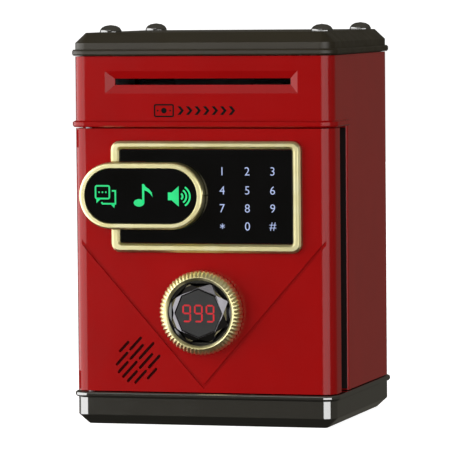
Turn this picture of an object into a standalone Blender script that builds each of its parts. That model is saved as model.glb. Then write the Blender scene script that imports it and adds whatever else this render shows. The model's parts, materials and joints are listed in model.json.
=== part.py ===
"""Toy cash-machine savings bank: a red box with a keypad door, a note feeder, a coin slot and a knob lock.

Sizes are in millimetres and become metres as each mesh is made. The design frame has its front face at
Y = 0, with Y growing towards the back, X to the right and Z up from the table. One empty, bank_frame,
moves that frame so that the finished object is centred over the world origin.
"""

from math import atan, cos, pi, radians, sin, sqrt

import bmesh
import bpy
from mathutils import Matrix, Vector

MM = 0.001

# Case
WIDTH = 125.0
DEPTH = 110.0
CORNER_R = 6.35
WALL = 2.5
GAP = 0.3
BEAD = 1.5
CHAMFER_IN = 5.0
BASE_TOP = 15.4
BASE_CHAMFER = 4.53
DOOR_BOTTOM = 15.9
DOOR_TOP = 138.4
HEAD_BOTTOM = 139.0
HEAD_BEAD_TOP = 142.0
HEAD_TOP = 171.9
LID_BOTTOM = 172.2
LID_BEAD_TOP = 175.0
LID_CHAMFER_Z = 178.1
LID_TOP = 182.84
CORNER_STEPS = 5

# Door
DOOR_WALL = 2.3
DOOR_DEPTH = 13.4
HOUSING_EDGE = 27.5
HINGE_EDGE = 16.0
FLANGE = 2.2
HINGE = (-56.5, 6.5)
HINGE_PIN_R = 1.5
RECESS_X = (55.1, 57.3)
COVER_BACK = 24.0

# Front features
SLOT_RECESS = (-46.5, 46.0, 154.6, 165.0)
SLOT_MOUTH = (-42.1, 42.35, 158.6, 161.5)
SLOT_RECESS_DEPTH = 1.6
BEZEL = (-43.4, 47.7, 81.0, 132.6)
BEZEL_OPENING = (-39.3, 44.0, 85.1, 129.0)
BEZEL_PROUD = 3.0
POCKET = 0.6
POD_CENTRE = (-27.75, 107.3)
POD_SIZE = (59.9, 31.0)
POD_RIM = 2.7
POD_PROUD = 7.0
KNOB_CENTRE = (0.0, 53.3)
KNOB_R = 19.7
KNOB_BORE_R = 15.2
KNOB_PROUD = 7.4
KNOB_FLUTES = 60
# The ring's rows from back to front: radius, Y, and how deep the flutes are there
KNOB_ROWS = (
    (KNOB_R - 1.2, -0.4, 0.0),
    (KNOB_R, -1.4, 0.55),
    (KNOB_R, -4.9, 0.7),
    (KNOB_R - 3.0, -KNOB_PROUD, 0.1),
)
CAP_PROUD = 8.0
CAP_R = 14.8
CAP_FACE_R = 11.8
CAP_EDGE_Y = (-3.0, -5.4)
MODULE_SIZE = (17.0, 9.6)
SPEAKER = (-31.7, 30.5)
SPEAKER_R = 9.6
SLOT_SLOPE = radians(47)
SLOT_PITCH = 3.05
SLOT_WIDTH = 1.3
# Where a row's slots start and end along the slope, by the row's distance from the middle row
SLOT_SPANS = (
    ((-11.3, -0.6), (0.6, 11.5)),
    ((-11.2, -3.8), (-2.6, 7.3)),
    ((-9.2, -0.6), (0.6, 9.2)),
    ((-3.5, 3.5),),
)
V_VERTEX = (0.0, 18.5)
V_SLOPE = radians(48.8)
V_WIDTH = 1.5
V_DEPTH = 0.7

# Lock
KNOB_TURN = radians(60.0)
CAM_PIN_R = 8.8
BOLT_TRAVEL = 2 * CAM_PIN_R * sin(KNOB_TURN / 2)
PLUNGER_Y = 12.5
CAM_R = 16.0
KNOB_SLEEVE_R = 12.5
KNOB_SLEEVE_BORE_R = 10.3
BOLT_Y = (16.8, 19.8)
BOLT_Z = (59.0, 66.0)
BOLT_TIP_X = 47.6
BOLT_WAY_Y = (BOLT_Y[0] - 0.3, BOLT_Y[1] + 0.3)
BOLT_WAY_Z = (BOLT_Z[0] - 0.3, BOLT_Z[1] + 0.3)

# Note feeder
SLOT_Z = 160.05
SHAFT_Y = 22.0
ROLLER_R = 5.2
ROLLER_GAP = 0.6
SHAFT_R = 1.5
BORE_R = 1.8
GEAR_MODULE = 0.8
GEAR_TEETH = 24
PINION_TEETH = 12
SHAFT_Z = SLOT_Z + ROLLER_R + ROLLER_GAP / 2
IDLER_Z = SLOT_Z - ROLLER_R - ROLLER_GAP / 2
GEAR_SPREAD = GEAR_MODULE * (GEAR_TEETH + PINION_TEETH) / 2
MOTOR_Z = SHAFT_Z + 8.0
MOTOR_Y = SHAFT_Y + sqrt(GEAR_SPREAD**2 - (MOTOR_Z - SHAFT_Z) ** 2)
DECK_Z = (141.6, 143.6)
UPRIGHT_X = (44.6, 46.6)
GEAR_X = (48.5, 52.5)

# Openings through the head, the deck and the lid
NOTE_DROP = (-44.0, 44.0, 33.0, 50.5)
COIN_SLOT = (-14.0, 14.0, 66.0, 69.2)
CHUTE = (-17.0, 17.0, 62.3, 72.7)
CHUTE_WALL = 2.0
GUIDE_CENTRE = (28.5, 144.5)
GUIDE_R = (21.0, 22.2)

# Batteries
BAY = (-27.4, 27.4, 52.0, 98.0)
BAY_TOP = 20.4
CELL_R = 7.2
CELL_PITCH = 15.5
CELL_HALF = 24.4
CONTACT_X = (26.3, 26.9)

# Where the front face lies once the object is centred over the origin
FRONT_Y = -(DEPTH + BEAD - CAP_PROUD) / 2

COLOURS = {
    "red_abs": ((0.33, 0.006, 0.008), 0.28, 0.0),
    "black_abs": ((0.022, 0.021, 0.018), 0.35, 0.0),
    "gold_plate": ((0.80, 0.62, 0.25), 0.22, 1.0),
    "black_acrylic": ((0.004, 0.004, 0.005), 0.08, 0.0),
    "smoked_chrome": ((0.10, 0.10, 0.10), 0.15, 1.0),
    "display_face": ((0.030, 0.032, 0.032), 0.45, 0.0),
    "steel": ((0.56, 0.56, 0.55), 0.30, 1.0),
    "white_nylon": ((0.72, 0.72, 0.68), 0.45, 0.0),
    "rubber": ((0.03, 0.03, 0.03), 0.80, 0.0),
    "circuit_board": ((0.01, 0.12, 0.05), 0.50, 0.0),
    "grey_abs": ((0.10, 0.10, 0.10), 0.45, 0.0),
    "cell_sleeve": ((0.03, 0.10, 0.25), 0.35, 0.0),
    "paper_cone": ((0.05, 0.05, 0.05), 0.85, 0.0),
}


def clear_scene():
    for obj in list(bpy.data.objects):
        bpy.data.objects.remove(obj, do_unlink=True)


def finish_material(name):
    """The Principled material of a finish, made once."""
    material = bpy.data.materials.get(name)
    if material:
        return material
    colour, roughness, metallic = COLOURS[name]
    material = bpy.data.materials.new(name)
    material.use_nodes = True
    shader = material.node_tree.nodes["Principled BSDF"]
    shader.inputs["Base Color"].default_value = (*colour, 1.0)
    shader.inputs["Roughness"].default_value = roughness
    shader.inputs["Metallic"].default_value = metallic
    return material


def axis_empty(name, place, parent=None):
    """An empty on a joint's axis; the pieces that move with it are its children."""
    empty = bpy.data.objects.new(name, None)
    empty.empty_display_size = 0.01
    bpy.context.scene.collection.objects.link(empty)
    empty.parent = parent
    offset = Vector(place) * MM
    empty.location = offset - (Vector(parent["centre"]) if parent else Vector())
    empty["centre"] = list(offset)
    return empty


def mesh_object(name, bm, finish=None, parent=None):
    """Turns a bmesh drawn in the design frame into an object under the parent empty."""
    bmesh.ops.recalc_face_normals(bm, faces=bm.faces)
    bm.transform(Matrix.Scale(MM, 4))
    if parent:
        bm.transform(Matrix.Translation(-Vector(parent["centre"])))
    mesh = bpy.data.meshes.new(name)
    bm.to_mesh(mesh)
    bm.free()
    mesh.shade_smooth()
    mesh.set_sharp_from_angle(angle=radians(30))
    obj = bpy.data.objects.new(name, mesh)
    bpy.context.scene.collection.objects.link(obj)
    obj.parent = parent
    if finish:
        mesh.materials.append(finish_material(finish))
    return obj


def boolean(target, name, bm, operation):
    """Cuts a tool shape out of the target, or joins it on."""
    tool = mesh_object(f"{target.name}_{name}", bm, parent=target.parent)
    tool.hide_render = True
    tool.display_type = "WIRE"
    modifier = target.modifiers.new(name, "BOOLEAN")
    modifier.operation = operation
    modifier.solver = "EXACT"
    modifier.object = tool


def cut(target, name, bm):
    boolean(target, name, bm, "DIFFERENCE")


def join(target, name, bm):
    boolean(target, name, bm, "UNION")


def merged(*shapes):
    """Several separate closed shapes as one tool shape."""
    whole = bmesh.new()
    for shape in shapes:
        mesh = bpy.data.meshes.new("tool")
        shape.to_mesh(mesh)
        shape.free()
        whole.from_mesh(mesh)
        bpy.data.meshes.remove(mesh)
    return whole


def box(x0, x1, y0, y1, z0, z1):
    bm = bmesh.new()
    bmesh.ops.create_cube(bm, size=1.0)
    bmesh.ops.scale(bm, vec=(x1 - x0, y1 - y0, z1 - z0), verts=bm.verts)
    bmesh.ops.translate(bm, vec=((x0 + x1) / 2, (y0 + y1) / 2, (z0 + z1) / 2), verts=bm.verts)
    return bm


def lofted(rings):
    """A closed shape through rings that have the same number of points."""
    bm = bmesh.new()
    rows = [[bm.verts.new(point) for point in ring] for ring in rings]
    count = len(rows[0])
    for low, high in zip(rows, rows[1:]):
        for i in range(count):
            j = (i + 1) % count
            bm.faces.new((low[i], low[j], high[j], high[i]))
    bm.faces.new(rows[0])
    bm.faces.new(rows[-1])
    return bm


def turned(profile, centre, axis, steps):
    """A closed profile of (radius, distance along the axis) turned about an axis through the centre."""
    bm = bmesh.new()
    along = Vector(axis)
    side = Vector((0, 0, 1)) if abs(along.z) < 0.5 else Vector((1, 0, 0))
    start = Vector(centre)
    verts = [bm.verts.new(start + side * radius + along * reach) for radius, reach in profile]
    edges = [bm.edges.new((a, b)) for a, b in zip(verts, verts[1:] + verts[:1])]
    on_axis = [e for e in edges if all((v.co - start).cross(along).length < 1e-6 for v in e.verts)]
    turning = [e for e in edges if e not in on_axis]
    geometry = verts + turning
    bmesh.ops.spin(bm, geom=geometry, cent=start, axis=along, angle=2 * pi, steps=steps, use_merge=True)
    bmesh.ops.remove_doubles(bm, verts=bm.verts, dist=1e-5)
    loose = [e for e in bm.edges if not e.link_faces]
    bmesh.ops.delete(bm, geom=loose, context="EDGES")
    return bm


def rod(radius, centre, axis, length, steps=20):
    """A round bar from the centre along the axis."""
    return turned([(0, 0), (radius, 0), (radius, length), (0, length)], centre, axis, steps)


def tube(outer, inner, centre, axis, length, steps=24):
    return turned([(inner, 0), (outer, 0), (outer, length), (inner, length)], centre, axis, steps)


def rounded_rectangle(width, depth, radius, steps=CORNER_STEPS):
    """Outline points about (0, 0), anticlockwise."""
    points = []
    for turn, (sx, sy) in enumerate(((1, 1), (-1, 1), (-1, -1), (1, -1))):
        cx = sx * (width / 2 - radius)
        cy = sy * (depth / 2 - radius)
        for step in range(steps + 1):
            angle = pi / 2 * (turn + step / steps)
            points.append((cx + radius * cos(angle), cy + radius * sin(angle)))
    return points


def case_ring(inset, z):
    """The case's plan outline at one height, drawn in by the inset."""
    radius = max(CORNER_R - inset, 0.8)
    outline = rounded_rectangle(WIDTH - 2 * inset, DEPTH - 2 * inset, radius)
    return [(x, y + DEPTH / 2, z) for x, y in outline]


def front_wrap(inset, reach, z):
    """The case's outline at one height, from its front face back to a depth behind it."""
    radius = CORNER_R - inset
    half = WIDTH / 2 - inset
    points = [(half, reach, z), (-half, reach, z)]
    for side, first in ((-1, pi), (1, 1.5 * pi)):
        for step in range(CORNER_STEPS + 1):
            angle = first + pi / 2 * step / CORNER_STEPS
            x = side * (WIDTH / 2 - CORNER_R) + radius * cos(angle)
            points.append((x, CORNER_R + radius * sin(angle), z))
    return points


def front_plate(outline, y0, y1):
    """An outline of (x, z) points given a thickness along Y."""
    return lofted([[(x, y, z) for x, z in outline] for y in (y0, y1)])


def front_rectangle(edges, radius, steps=4, grow=0.0):
    """A rounded rectangle on the front, from its (left, right, bottom, top) edges."""
    x0, x1, z0, z1 = edges
    width = x1 - x0 + 2 * grow
    height = z1 - z0 + 2 * grow
    outline = rounded_rectangle(width, height, radius + grow, steps)
    return [(x + (x0 + x1) / 2, z + (z0 + z1) / 2) for x, z in outline]


def stadium(grow, steps=10):
    """The pod's outline on the front, drawn out by the growth."""
    width, height = POD_SIZE
    outline = rounded_rectangle(width + 2 * grow, height + 2 * grow, height / 2 + grow - 1e-3, steps)
    return [(x + POD_CENTRE[0], z + POD_CENTRE[1]) for x, z in outline]


def octagon(radius, y, first_angle):
    """Eight points about the knob's axis."""
    angles = [first_angle + pi / 4 * i for i in range(8)]
    return [(KNOB_CENTRE[0] + radius * cos(a), y, KNOB_CENTRE[1] + radius * sin(a)) for a in angles]


def base_screw_place(index):
    """Where a screw of the base stands, by its number."""
    return ((-52.0, 52.0)[index % 2], (35.5, 99.0)[index // 2])


def wall_post(x, y, z0, z1):
    """A square post round a screw, joined to the side wall beside it."""
    side = 1 if x > 0 else -1
    near = x - side * 4.0
    far = side * (WIDTH / 2 - 1.5)
    return box(min(near, far), max(near, far), y - 4.0, y + 4.0, z0, z1)


def speaker_slots(y0, y1):
    """Slanted slots with round ends, in seven rows."""
    along = (cos(SLOT_SLOPE), sin(SLOT_SLOPE))
    slots = []
    for row in range(1 - len(SLOT_SPANS), len(SLOT_SPANS)):
        across = -row * SLOT_PITCH
        for first, last in SLOT_SPANS[abs(row)]:
            middle = (first + last) / 2
            outline = rounded_rectangle(last - first, SLOT_WIDTH, SLOT_WIDTH / 2 - 0.01, 3)
            slanted = [
                (
                    SPEAKER[0] + (middle + u) * along[0] - (across + v) * along[1],
                    SPEAKER[1] + (middle + u) * along[1] + (across + v) * along[0],
                )
                for u, v in outline
            ]
            slots.append(front_plate(slanted, y0, y1))
    return merged(*slots)


def v_groove():
    """Two straight grooves that rise from a point near the foot of the door to its sides."""
    arms = []
    for side in (-1, 1):
        direction = Vector((side * cos(V_SLOPE), 0, sin(V_SLOPE)))
        across = Vector((-direction.z, 0, direction.x)) * V_WIDTH / 2
        start = Vector((V_VERTEX[0], 0, V_VERTEX[1])) - direction * V_WIDTH * 0.35
        end = start + direction * (WIDTH / 2 + 4) / cos(V_SLOPE)
        corners = [start + across, start - across, end - across, end + across]
        rings = [[(p.x, y, p.z) for p in corners] for y in (-1.0, V_DEPTH)]
        arms.append(lofted(rings))
    return arms


def involute_outline(teeth, first_angle):
    """The (u, v) points of a spur gear in millimetres, its first tooth centred on the first angle."""
    pitch_r = GEAR_MODULE * teeth / 2
    base_r = pitch_r * cos(radians(20))
    tip_r = pitch_r + 0.8 * GEAR_MODULE
    root_r = pitch_r - 1.15 * GEAR_MODULE
    backlash = 0.12

    def spread(radius):
        roll = sqrt(max((radius / base_r) ** 2 - 1, 0.0))
        return roll - atan(roll)

    half_tooth = pi / (2 * teeth) - backlash / (2 * pitch_r) + spread(pitch_r)
    radii = [root_r] + [base_r + (tip_r - base_r) * i / 4 for i in range(5)]
    points = []
    for tooth in range(teeth):
        centre = first_angle + 2 * pi * tooth / teeth
        rising = [(r, centre - half_tooth + spread(r)) for r in radii]
        falling = [(r, centre + half_tooth - spread(r)) for r in reversed(radii)]
        points += [(r * cos(a), r * sin(a)) for r, a in rising + falling]
    return points


def gear(teeth, first_angle, y, z):
    """A spur gear across the feeder's drive side, its axis along X."""
    outline = involute_outline(teeth, first_angle)
    return lofted([[(x, y + u, z + v) for u, v in outline] for x in GEAR_X])


def build_case(frame):
    """The red shell with its head, door frame and hinge seats, the black lid and its studs."""
    housing = mesh_object(
        "housing_shell", lofted([case_ring(0, BASE_TOP + GAP), case_ring(0, HEAD_TOP)]), "red_abs", frame
    )
    bead = [
        front_wrap(-out, HOUSING_EDGE, z)
        for out, z in (
            (0.9, HEAD_BOTTOM),
            (BEAD, HEAD_BOTTOM + 0.7),
            (BEAD, HEAD_BEAD_TOP - 0.7),
            (0.2, HEAD_BEAD_TOP),
        )
    ]
    join(housing, "bead", lofted(bead))
    cut(housing, "inside", lofted([case_ring(WALL, DOOR_BOTTOM - 5), case_ring(WALL, HEAD_TOP + 5)]))
    doorway = box(-50, 70, -5, HOUSING_EDGE, 0, HEAD_BOTTOM)
    hinge_side = box(-70, -49, -5, HINGE_EDGE, 0, HEAD_BOTTOM)
    cut(housing, "doorway", doorway)
    cut(housing, "hinge_side", hinge_side)
    inner = WIDTH / 2 - 2.0
    ceiling = box(-inner, inner, 2.0, HOUSING_EDGE + FLANGE, HEAD_BOTTOM, HEAD_BOTTOM + FLANGE)
    flange = box(-inner, inner, HOUSING_EDGE, HOUSING_EDGE + FLANGE, BASE_TOP + GAP, HEAD_BOTTOM + 1)
    frame_wall = box(*RECESS_X, DOOR_DEPTH + 0.8, HOUSING_EDGE + 1, BASE_TOP + GAP, HEAD_BOTTOM + 1)
    ledge = box(-40, 40, DEPTH - 6, DEPTH - 2, HEAD_BOTTOM - 1, HEAD_BOTTOM + FLANGE)
    join(housing, "ceiling", ceiling)
    join(housing, "flange", flange)
    join(housing, "frame_wall", frame_wall)
    join(housing, "ledge", ledge)
    for index in range(4):
        x, y = base_screw_place(index)
        join(housing, f"post_{index}", wall_post(x, y, BASE_TOP + GAP, BASE_TOP + 14))
        cut(housing, f"screw_hole_{index}", rod(BORE_R, (x, y, BASE_TOP - 2), (0, 0, 1), 20, 16))
    cut(housing, "access", box(-50, 50, HOUSING_EDGE - 2, HOUSING_EDGE + 5, 21, 134))
    cut(housing, "strike", box(54, RECESS_X[1] - 0.6, 16.2, 20.4, 58.4, 66.6))
    cut(housing, "hinge_seat", rod(BORE_R, (*HINGE, HEAD_BOTTOM - 5), (0, 0, 1), 12, 16))
    u0, u1, w0, w1 = SLOT_MOUTH
    over = 1.0 + SLOT_RECESS_DEPTH
    slope = over / SLOT_RECESS_DEPTH
    outer = [inner + (edge - inner) * slope for inner, edge in zip(SLOT_MOUTH, SLOT_RECESS)]
    funnel = [
        [(a, y, c), (b, y, c), (b, y, d), (a, y, d)]
        for y, (a, b, c, d) in ((-1.0, outer), (SLOT_RECESS_DEPTH, SLOT_MOUTH))
    ]
    cut(housing, "slot_recess", lofted(funnel))
    cut(housing, "slot_mouth", box(u0, u1, 0.5, WALL + 2, w0, w1))

    profile = [
        (-0.9, LID_BOTTOM),
        (-BEAD, LID_BOTTOM + 0.7),
        (-BEAD, LID_BEAD_TOP - 0.7),
        (-0.9, LID_BEAD_TOP),
        (0, LID_BEAD_TOP + 0.1),
        (0, LID_CHAMFER_Z),
        (CHAMFER_IN, LID_TOP),
    ]
    lid = mesh_object("top_lid", lofted([case_ring(i, z) for i, z in profile]), "black_abs", frame)
    hollow = [(WALL, LID_BOTTOM - 2), (WALL, LID_CHAMFER_Z - 1), (CHAMFER_IN + 1.2, LID_TOP - WALL)]
    cut(lid, "hollow", lofted([case_ring(i, z) for i, z in hollow]))
    cut(lid, "coin_slot", box(*COIN_SLOT, LID_TOP - 6, LID_TOP + 3))
    for index in range(4):
        x, y = ((-51.3, 51.3)[index % 2], (25.4, 100.1)[index // 2])
        cut(lid, f"stud_seat_{index}", rod(5.5, (x, y, LID_TOP - POCKET), (0, 0, 1), 4, 16))
        z = LID_TOP - POCKET + GAP
        dome = [(0, 0), (5.2, 0), (5.2, 1.0), (4.3, 2.4), (2.6, 3.3), (0, 3.7)]
        side = ("left", "right")[index % 2]
        end = ("front", "rear")[index // 2]
        stud = turned(dome, (x, y, z), (0, 0, 1), 16)
        mesh_object(f"lid_stud_{end}_{side}", stud, "smoked_chrome", frame)


def build_base(frame):
    """The black tray that the case stands on, with the battery bay that opens underneath."""
    profile = [
        (CHAMFER_IN, 0),
        (0, BASE_CHAMFER),
        (0, BASE_TOP - 2.6),
        (-0.9, BASE_TOP - 2.5),
        (-BEAD, BASE_TOP - 1.8),
        (-BEAD, BASE_TOP - 0.7),
        (-0.9, BASE_TOP),
    ]
    tray = mesh_object("base_tray", lofted([case_ring(i, z) for i, z in profile]), "black_abs", frame)
    cut(tray, "inside", lofted([case_ring(WALL, WALL), case_ring(WALL, BASE_TOP + 5)]))
    x0, x1, y0, y1 = BAY
    join(tray, "bay_walls", box(x0 - 6, x1 + 6, y0 - 10, y1 + 5, 1, BAY_TOP + 2))
    join(tray, "hinge_boss", box(-61, HINGE[0] + 4, 1.5, HINGE[1] + 4, BASE_CHAMFER + 0.2, BASE_TOP))
    for index in range(4):
        x, y = base_screw_place(index)
        join(tray, f"post_{index}", wall_post(x, y, BASE_CHAMFER + 0.2, BASE_TOP))
        join(tray, f"post_foot_{index}", box(x - 4, x + 4, y - 4, y + 4, 1, BASE_CHAMFER + 1))
    cut(tray, "bay", box(x0, x1, y0, y1, -1, BAY_TOP))
    cut(tray, "cover_seat", box(x0 - 4, x1 + 4, y0 - 9, y1 + 3, -1, 2.2))
    cut(tray, "cover_screw_hole", rod(1.2, (0, y0 - 5.5, -1), (0, 0, 1), 13, 12))
    cut(tray, "hinge_seat", rod(BORE_R, (*HINGE, BASE_TOP - 6), (0, 0, 1), 9, 16))
    for index in range(4):
        x, y = base_screw_place(index)
        hole = [(0, -1), (3.2, -1), (3.2, 3), (BORE_R, 3), (BORE_R, 20), (0, 20)]
        cut(tray, f"screw_hole_{index}", turned(hole, (x, y, 0), (0, 0, 1), 16))
        screw = [(0, 0.8), (2.8, 0.8), (2.8, 2.7), (1.4, 2.7), (1.4, 26), (0, 26)]
        side = ("left", "right")[index % 2]
        end = ("front", "rear")[index // 2]
        mesh_object(f"base_screw_{end}_{side}", turned(screw, (x, y, 0), (0, 0, 1), 12), "steel", frame)

    plate = box(x0 - 3.7, x1 + 3.7, y0 - 8.7, y1 + 2.7, 0.1, 1.9)
    cover = mesh_object("battery_cover", plate, "black_abs", frame)
    seat = [(0, -1), (2.6, -1), (2.6, 1.0), (1.2, 1.0), (1.2, 5), (0, 5)]
    cut(cover, "screw_seat", turned(seat, (0, y0 - 5.5, 0), (0, 0, 1), 16))
    screw = [(0, 0.2), (2.2, 0.2), (2.2, 0.8), (0.9, 0.8), (0.9, 9.5), (0, 9.5)]
    mesh_object("battery_cover_screw", turned(screw, (0, y0 - 5.5, 0), (0, 0, 1), 12), "steel", frame)

    middle_y = (y0 + y1) / 2
    cell_z = 2.5 + CELL_R
    for number in range(3):
        way = 1 if number % 2 else -1
        cell = [(0, -CELL_HALF), (CELL_R, -CELL_HALF), (CELL_R, 24.0)]
        cell += [(2.7, 24.2), (2.7, 25.6), (0, 25.6)]
        centre = (0, middle_y + (number - 1) * CELL_PITCH, cell_z)
        mesh_object(f"battery_{number + 1}", turned(cell, centre, (way, 0, 0), 16), "cell_sleeve", frame)
    for side, name in ((-1, "left"), (1, "right")):
        near, far = sorted(side * edge for edge in CONTACT_X)
        plate = box(near, far, y0 + 1, y1 - 1, 4, 17)
        mesh_object(f"battery_contact_{name}", plate, "steel", frame)


def build_feeder(frame):
    """The deck under the head, the driven and idling rollers, the motor, the note guide and the coin chute."""
    deck_outline = rounded_rectangle(WIDTH - 2 * WALL - 1.4, DEPTH - 2 * WALL - 1.4, 3.4)
    deck_rings = [[(x, y + DEPTH / 2, z) for x, y in deck_outline] for z in DECK_Z]
    deck = mesh_object("feeder_deck", lofted(deck_rings), "grey_abs", frame)
    for side in (-1, 1):
        near, far = sorted(side * edge for edge in UPRIGHT_X)
        join(deck, f"upright_{side}", box(near, far, 13, 42, DECK_Z[1] - 1.1, 178.6))
    cut(deck, "note_drop", box(*NOTE_DROP, 139, 146))
    x0, x1, y0, y1 = CHUTE
    cut(deck, "coin_drop", box(x0 - 0.4, x1 + 0.4, y0 - 0.4, y1 + 0.4, 139, 146))
    for name, z in (("drive_bearing", SHAFT_Z), ("idler_bearing", IDLER_Z)):
        cut(deck, name, rod(BORE_R, (-60, SHAFT_Y, z), (1, 0, 0), 120, 16))
    cut(deck, "motor_bearing", rod(BORE_R, (40, MOTOR_Y, MOTOR_Z), (1, 0, 0), 12, 16))

    arc = [pi / 2 * step / 8 for step in range(9)]
    guide_y, guide_z = GUIDE_CENTRE
    inside_r, outside_r = GUIDE_R
    section = [(guide_y + outside_r * sin(a), guide_z + outside_r * cos(a)) for a in arc]
    section += [(guide_y + inside_r * sin(a), guide_z + inside_r * cos(a)) for a in reversed(arc)]
    guide = lofted([[(x, y, z) for y, z in section] for x in (-43.0, 43.0)])
    mesh_object("note_guide", guide, "grey_abs", frame)

    chute = mesh_object("coin_chute", box(*CHUTE, 138, LID_TOP - WALL - 0.4), "grey_abs", frame)
    join(chute, "collar", box(x0 - 3, x1 + 3, y0 - 2.3, y1 + 2.3, DECK_Z[1] + GAP, DECK_Z[1] + 1.8))
    throat = box(x0 + CHUTE_WALL, x1 - CHUTE_WALL, y0 + CHUTE_WALL, y1 - CHUTE_WALL, 130, 190)
    cut(chute, "throat", throat)

    motor = box(20, UPRIGHT_X[0] - GAP, MOTOR_Y - 6, MOTOR_Y + 6, MOTOR_Z - 5, MOTOR_Z + 5)
    mesh_object("feed_motor", motor, "steel", frame)

    drive = axis_empty("feed_shaft_axis", (0, SHAFT_Y, SHAFT_Z), frame)
    mesh_object("feed_shaft", rod(SHAFT_R, (-49, SHAFT_Y, SHAFT_Z), (1, 0, 0), 103.5, 12), "steel", drive)
    drive_gear = mesh_object("feed_gear", gear(GEAR_TEETH, 0.0, SHAFT_Y, SHAFT_Z), "white_nylon", drive)
    cut(drive_gear, "bore", rod(BORE_R, (GEAR_X[0] - 2, SHAFT_Y, SHAFT_Z), (1, 0, 0), 8, 16))
    idle = axis_empty("idler_shaft_axis", (0, SHAFT_Y, IDLER_Z), frame)
    mesh_object("idler_shaft", rod(SHAFT_R, (-49, SHAFT_Y, IDLER_Z), (1, 0, 0), 96.4, 12), "steel", idle)
    for name, axis, z in (("feed_roller", drive, SHAFT_Z), ("idler_roller", idle, IDLER_Z)):
        for side, x in (("left", -34), ("right", 20)):
            roller = tube(ROLLER_R, BORE_R, (x, SHAFT_Y, z), (1, 0, 0), 14, 24)
            mesh_object(f"{name}_{side}", roller, "rubber", axis)

    pinion_axis = axis_empty("motor_pinion_axis", (0, MOTOR_Y, MOTOR_Z), frame)
    towards = atan((MOTOR_Z - SHAFT_Z) / (MOTOR_Y - SHAFT_Y))
    phase = towards / (2 * pi / GEAR_TEETH)
    facing = towards + pi + (phase % 1.0 + 0.5) * (2 * pi / PINION_TEETH)
    teeth = gear(PINION_TEETH, facing, MOTOR_Y, MOTOR_Z)
    pinion = mesh_object("motor_pinion", teeth, "white_nylon", pinion_axis)
    join(pinion, "spindle", rod(1.2, (UPRIGHT_X[0] + GAP, MOTOR_Y, MOTOR_Z), (1, 0, 0), 8.2, 12))


def build_hinge(frame):
    """Two steel pins that the door turns on, and the latch's strike plate."""
    mesh_object("hinge_pin_top", rod(HINGE_PIN_R, (*HINGE, 130), (0, 0, 1), 11, 12), "steel", frame)
    lower = rod(HINGE_PIN_R, (*HINGE, BASE_TOP - 5.5), (0, 0, 1), 14, 12)
    mesh_object("hinge_pin_bottom", lower, "steel", frame)
    strike = mesh_object("strike_plate", box(54.0, RECESS_X[0] - GAP, 15, 26, 52, 73), "steel", frame)
    cut(strike, "window", box(53, 56, 16.2, 20.4, 58.4, 66.6))


def build_door(door):
    """The door's outer panel with its hinge lugs and openings, and the cover over its works."""
    outline = [front_wrap(0, DOOR_DEPTH, z) for z in (DOOR_BOTTOM, DOOR_TOP)]
    panel = mesh_object("door_panel", lofted(outline), "red_abs", door)
    inner = [
        [(x, y, z) for x, y, _ in front_wrap(DOOR_WALL, DOOR_DEPTH + 2, 0)]
        for z in (DOOR_BOTTOM + DOOR_WALL, DOOR_TOP - DOOR_WALL)
    ]
    cut(panel, "inside", lofted(inner))
    for name, z0, z1 in (("bottom", DOOR_BOTTOM + 0.5, 25.0), ("top", 129.5, DOOR_TOP - 0.5)):
        lug = box(-61, HINGE[0] + 3.8, 1.5, HINGE[1] + 4, z0, z1)
        join(panel, f"lug_{name}", lug)
    cut(panel, "hinge_bore", rod(BORE_R, (*HINGE, 0), (0, 0, 1), 160, 16))
    for index, (x, z) in enumerate(cover_screw_places()):
        join(panel, f"boss_{index}", tube(2.8, 1.3, (x, 1.5, z), (0, 1, 0), COVER_BACK - 4.0, 12))
    cut(panel, "bezel_pocket", front_plate(front_rectangle(BEZEL, 4.0, grow=GAP), -2, POCKET))
    cut(panel, "pod_pocket", front_plate(stadium(GAP), -2, POCKET))
    cut(panel, "board_window", box(-28, 34, -1, 5, 91, 123))
    knob_x, knob_z = KNOB_CENTRE
    cut(panel, "knob_hole", rod(KNOB_SLEEVE_R + 0.5, (knob_x, -2, knob_z), (0, 1, 0), 8, 32))
    cut(panel, "speaker_slots", speaker_slots(-1, 4))
    for index, arm in enumerate(v_groove()):
        cut(panel, f"groove_{index}", arm)

    cover = mesh_object("door_back_cover", box(-48, 48.5, 2.7, COVER_BACK, 18.6, 135.7), "grey_abs", door)
    cut(cover, "inside", box(-46, 46.5, 0, COVER_BACK - 2, 20.6, 133.7))
    join(cover, "bolt_guide", box(20, 26, 15, COVER_BACK - 1, 56, 69))
    cut(cover, "bolt_way", box(15, 55, *BOLT_WAY_Y, *BOLT_WAY_Z))
    for index, (x, z) in enumerate(cover_screw_places()):
        cut(cover, f"screw_hole_{index}", rod(1.4, (x, COVER_BACK - 5, z), (0, 1, 0), 8, 12))
        head = [(0, -9.0), (1.0, -9.0), (1.0, GAP), (2.3, GAP), (2.3, 1.5), (0, 1.5)]
        screw = turned(head, (x, COVER_BACK, z), (0, 1, 0), 12)
        mesh_object(f"cover_screw_{index + 1}", screw, "steel", door)


def cover_screw_places():
    """The four (x, z) places where the back cover is screwed to the door panel."""
    return ((-14.5, 24.5), (42.5, 24.5), (-42.5, 130.0), (42.5, 130.0))


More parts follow.
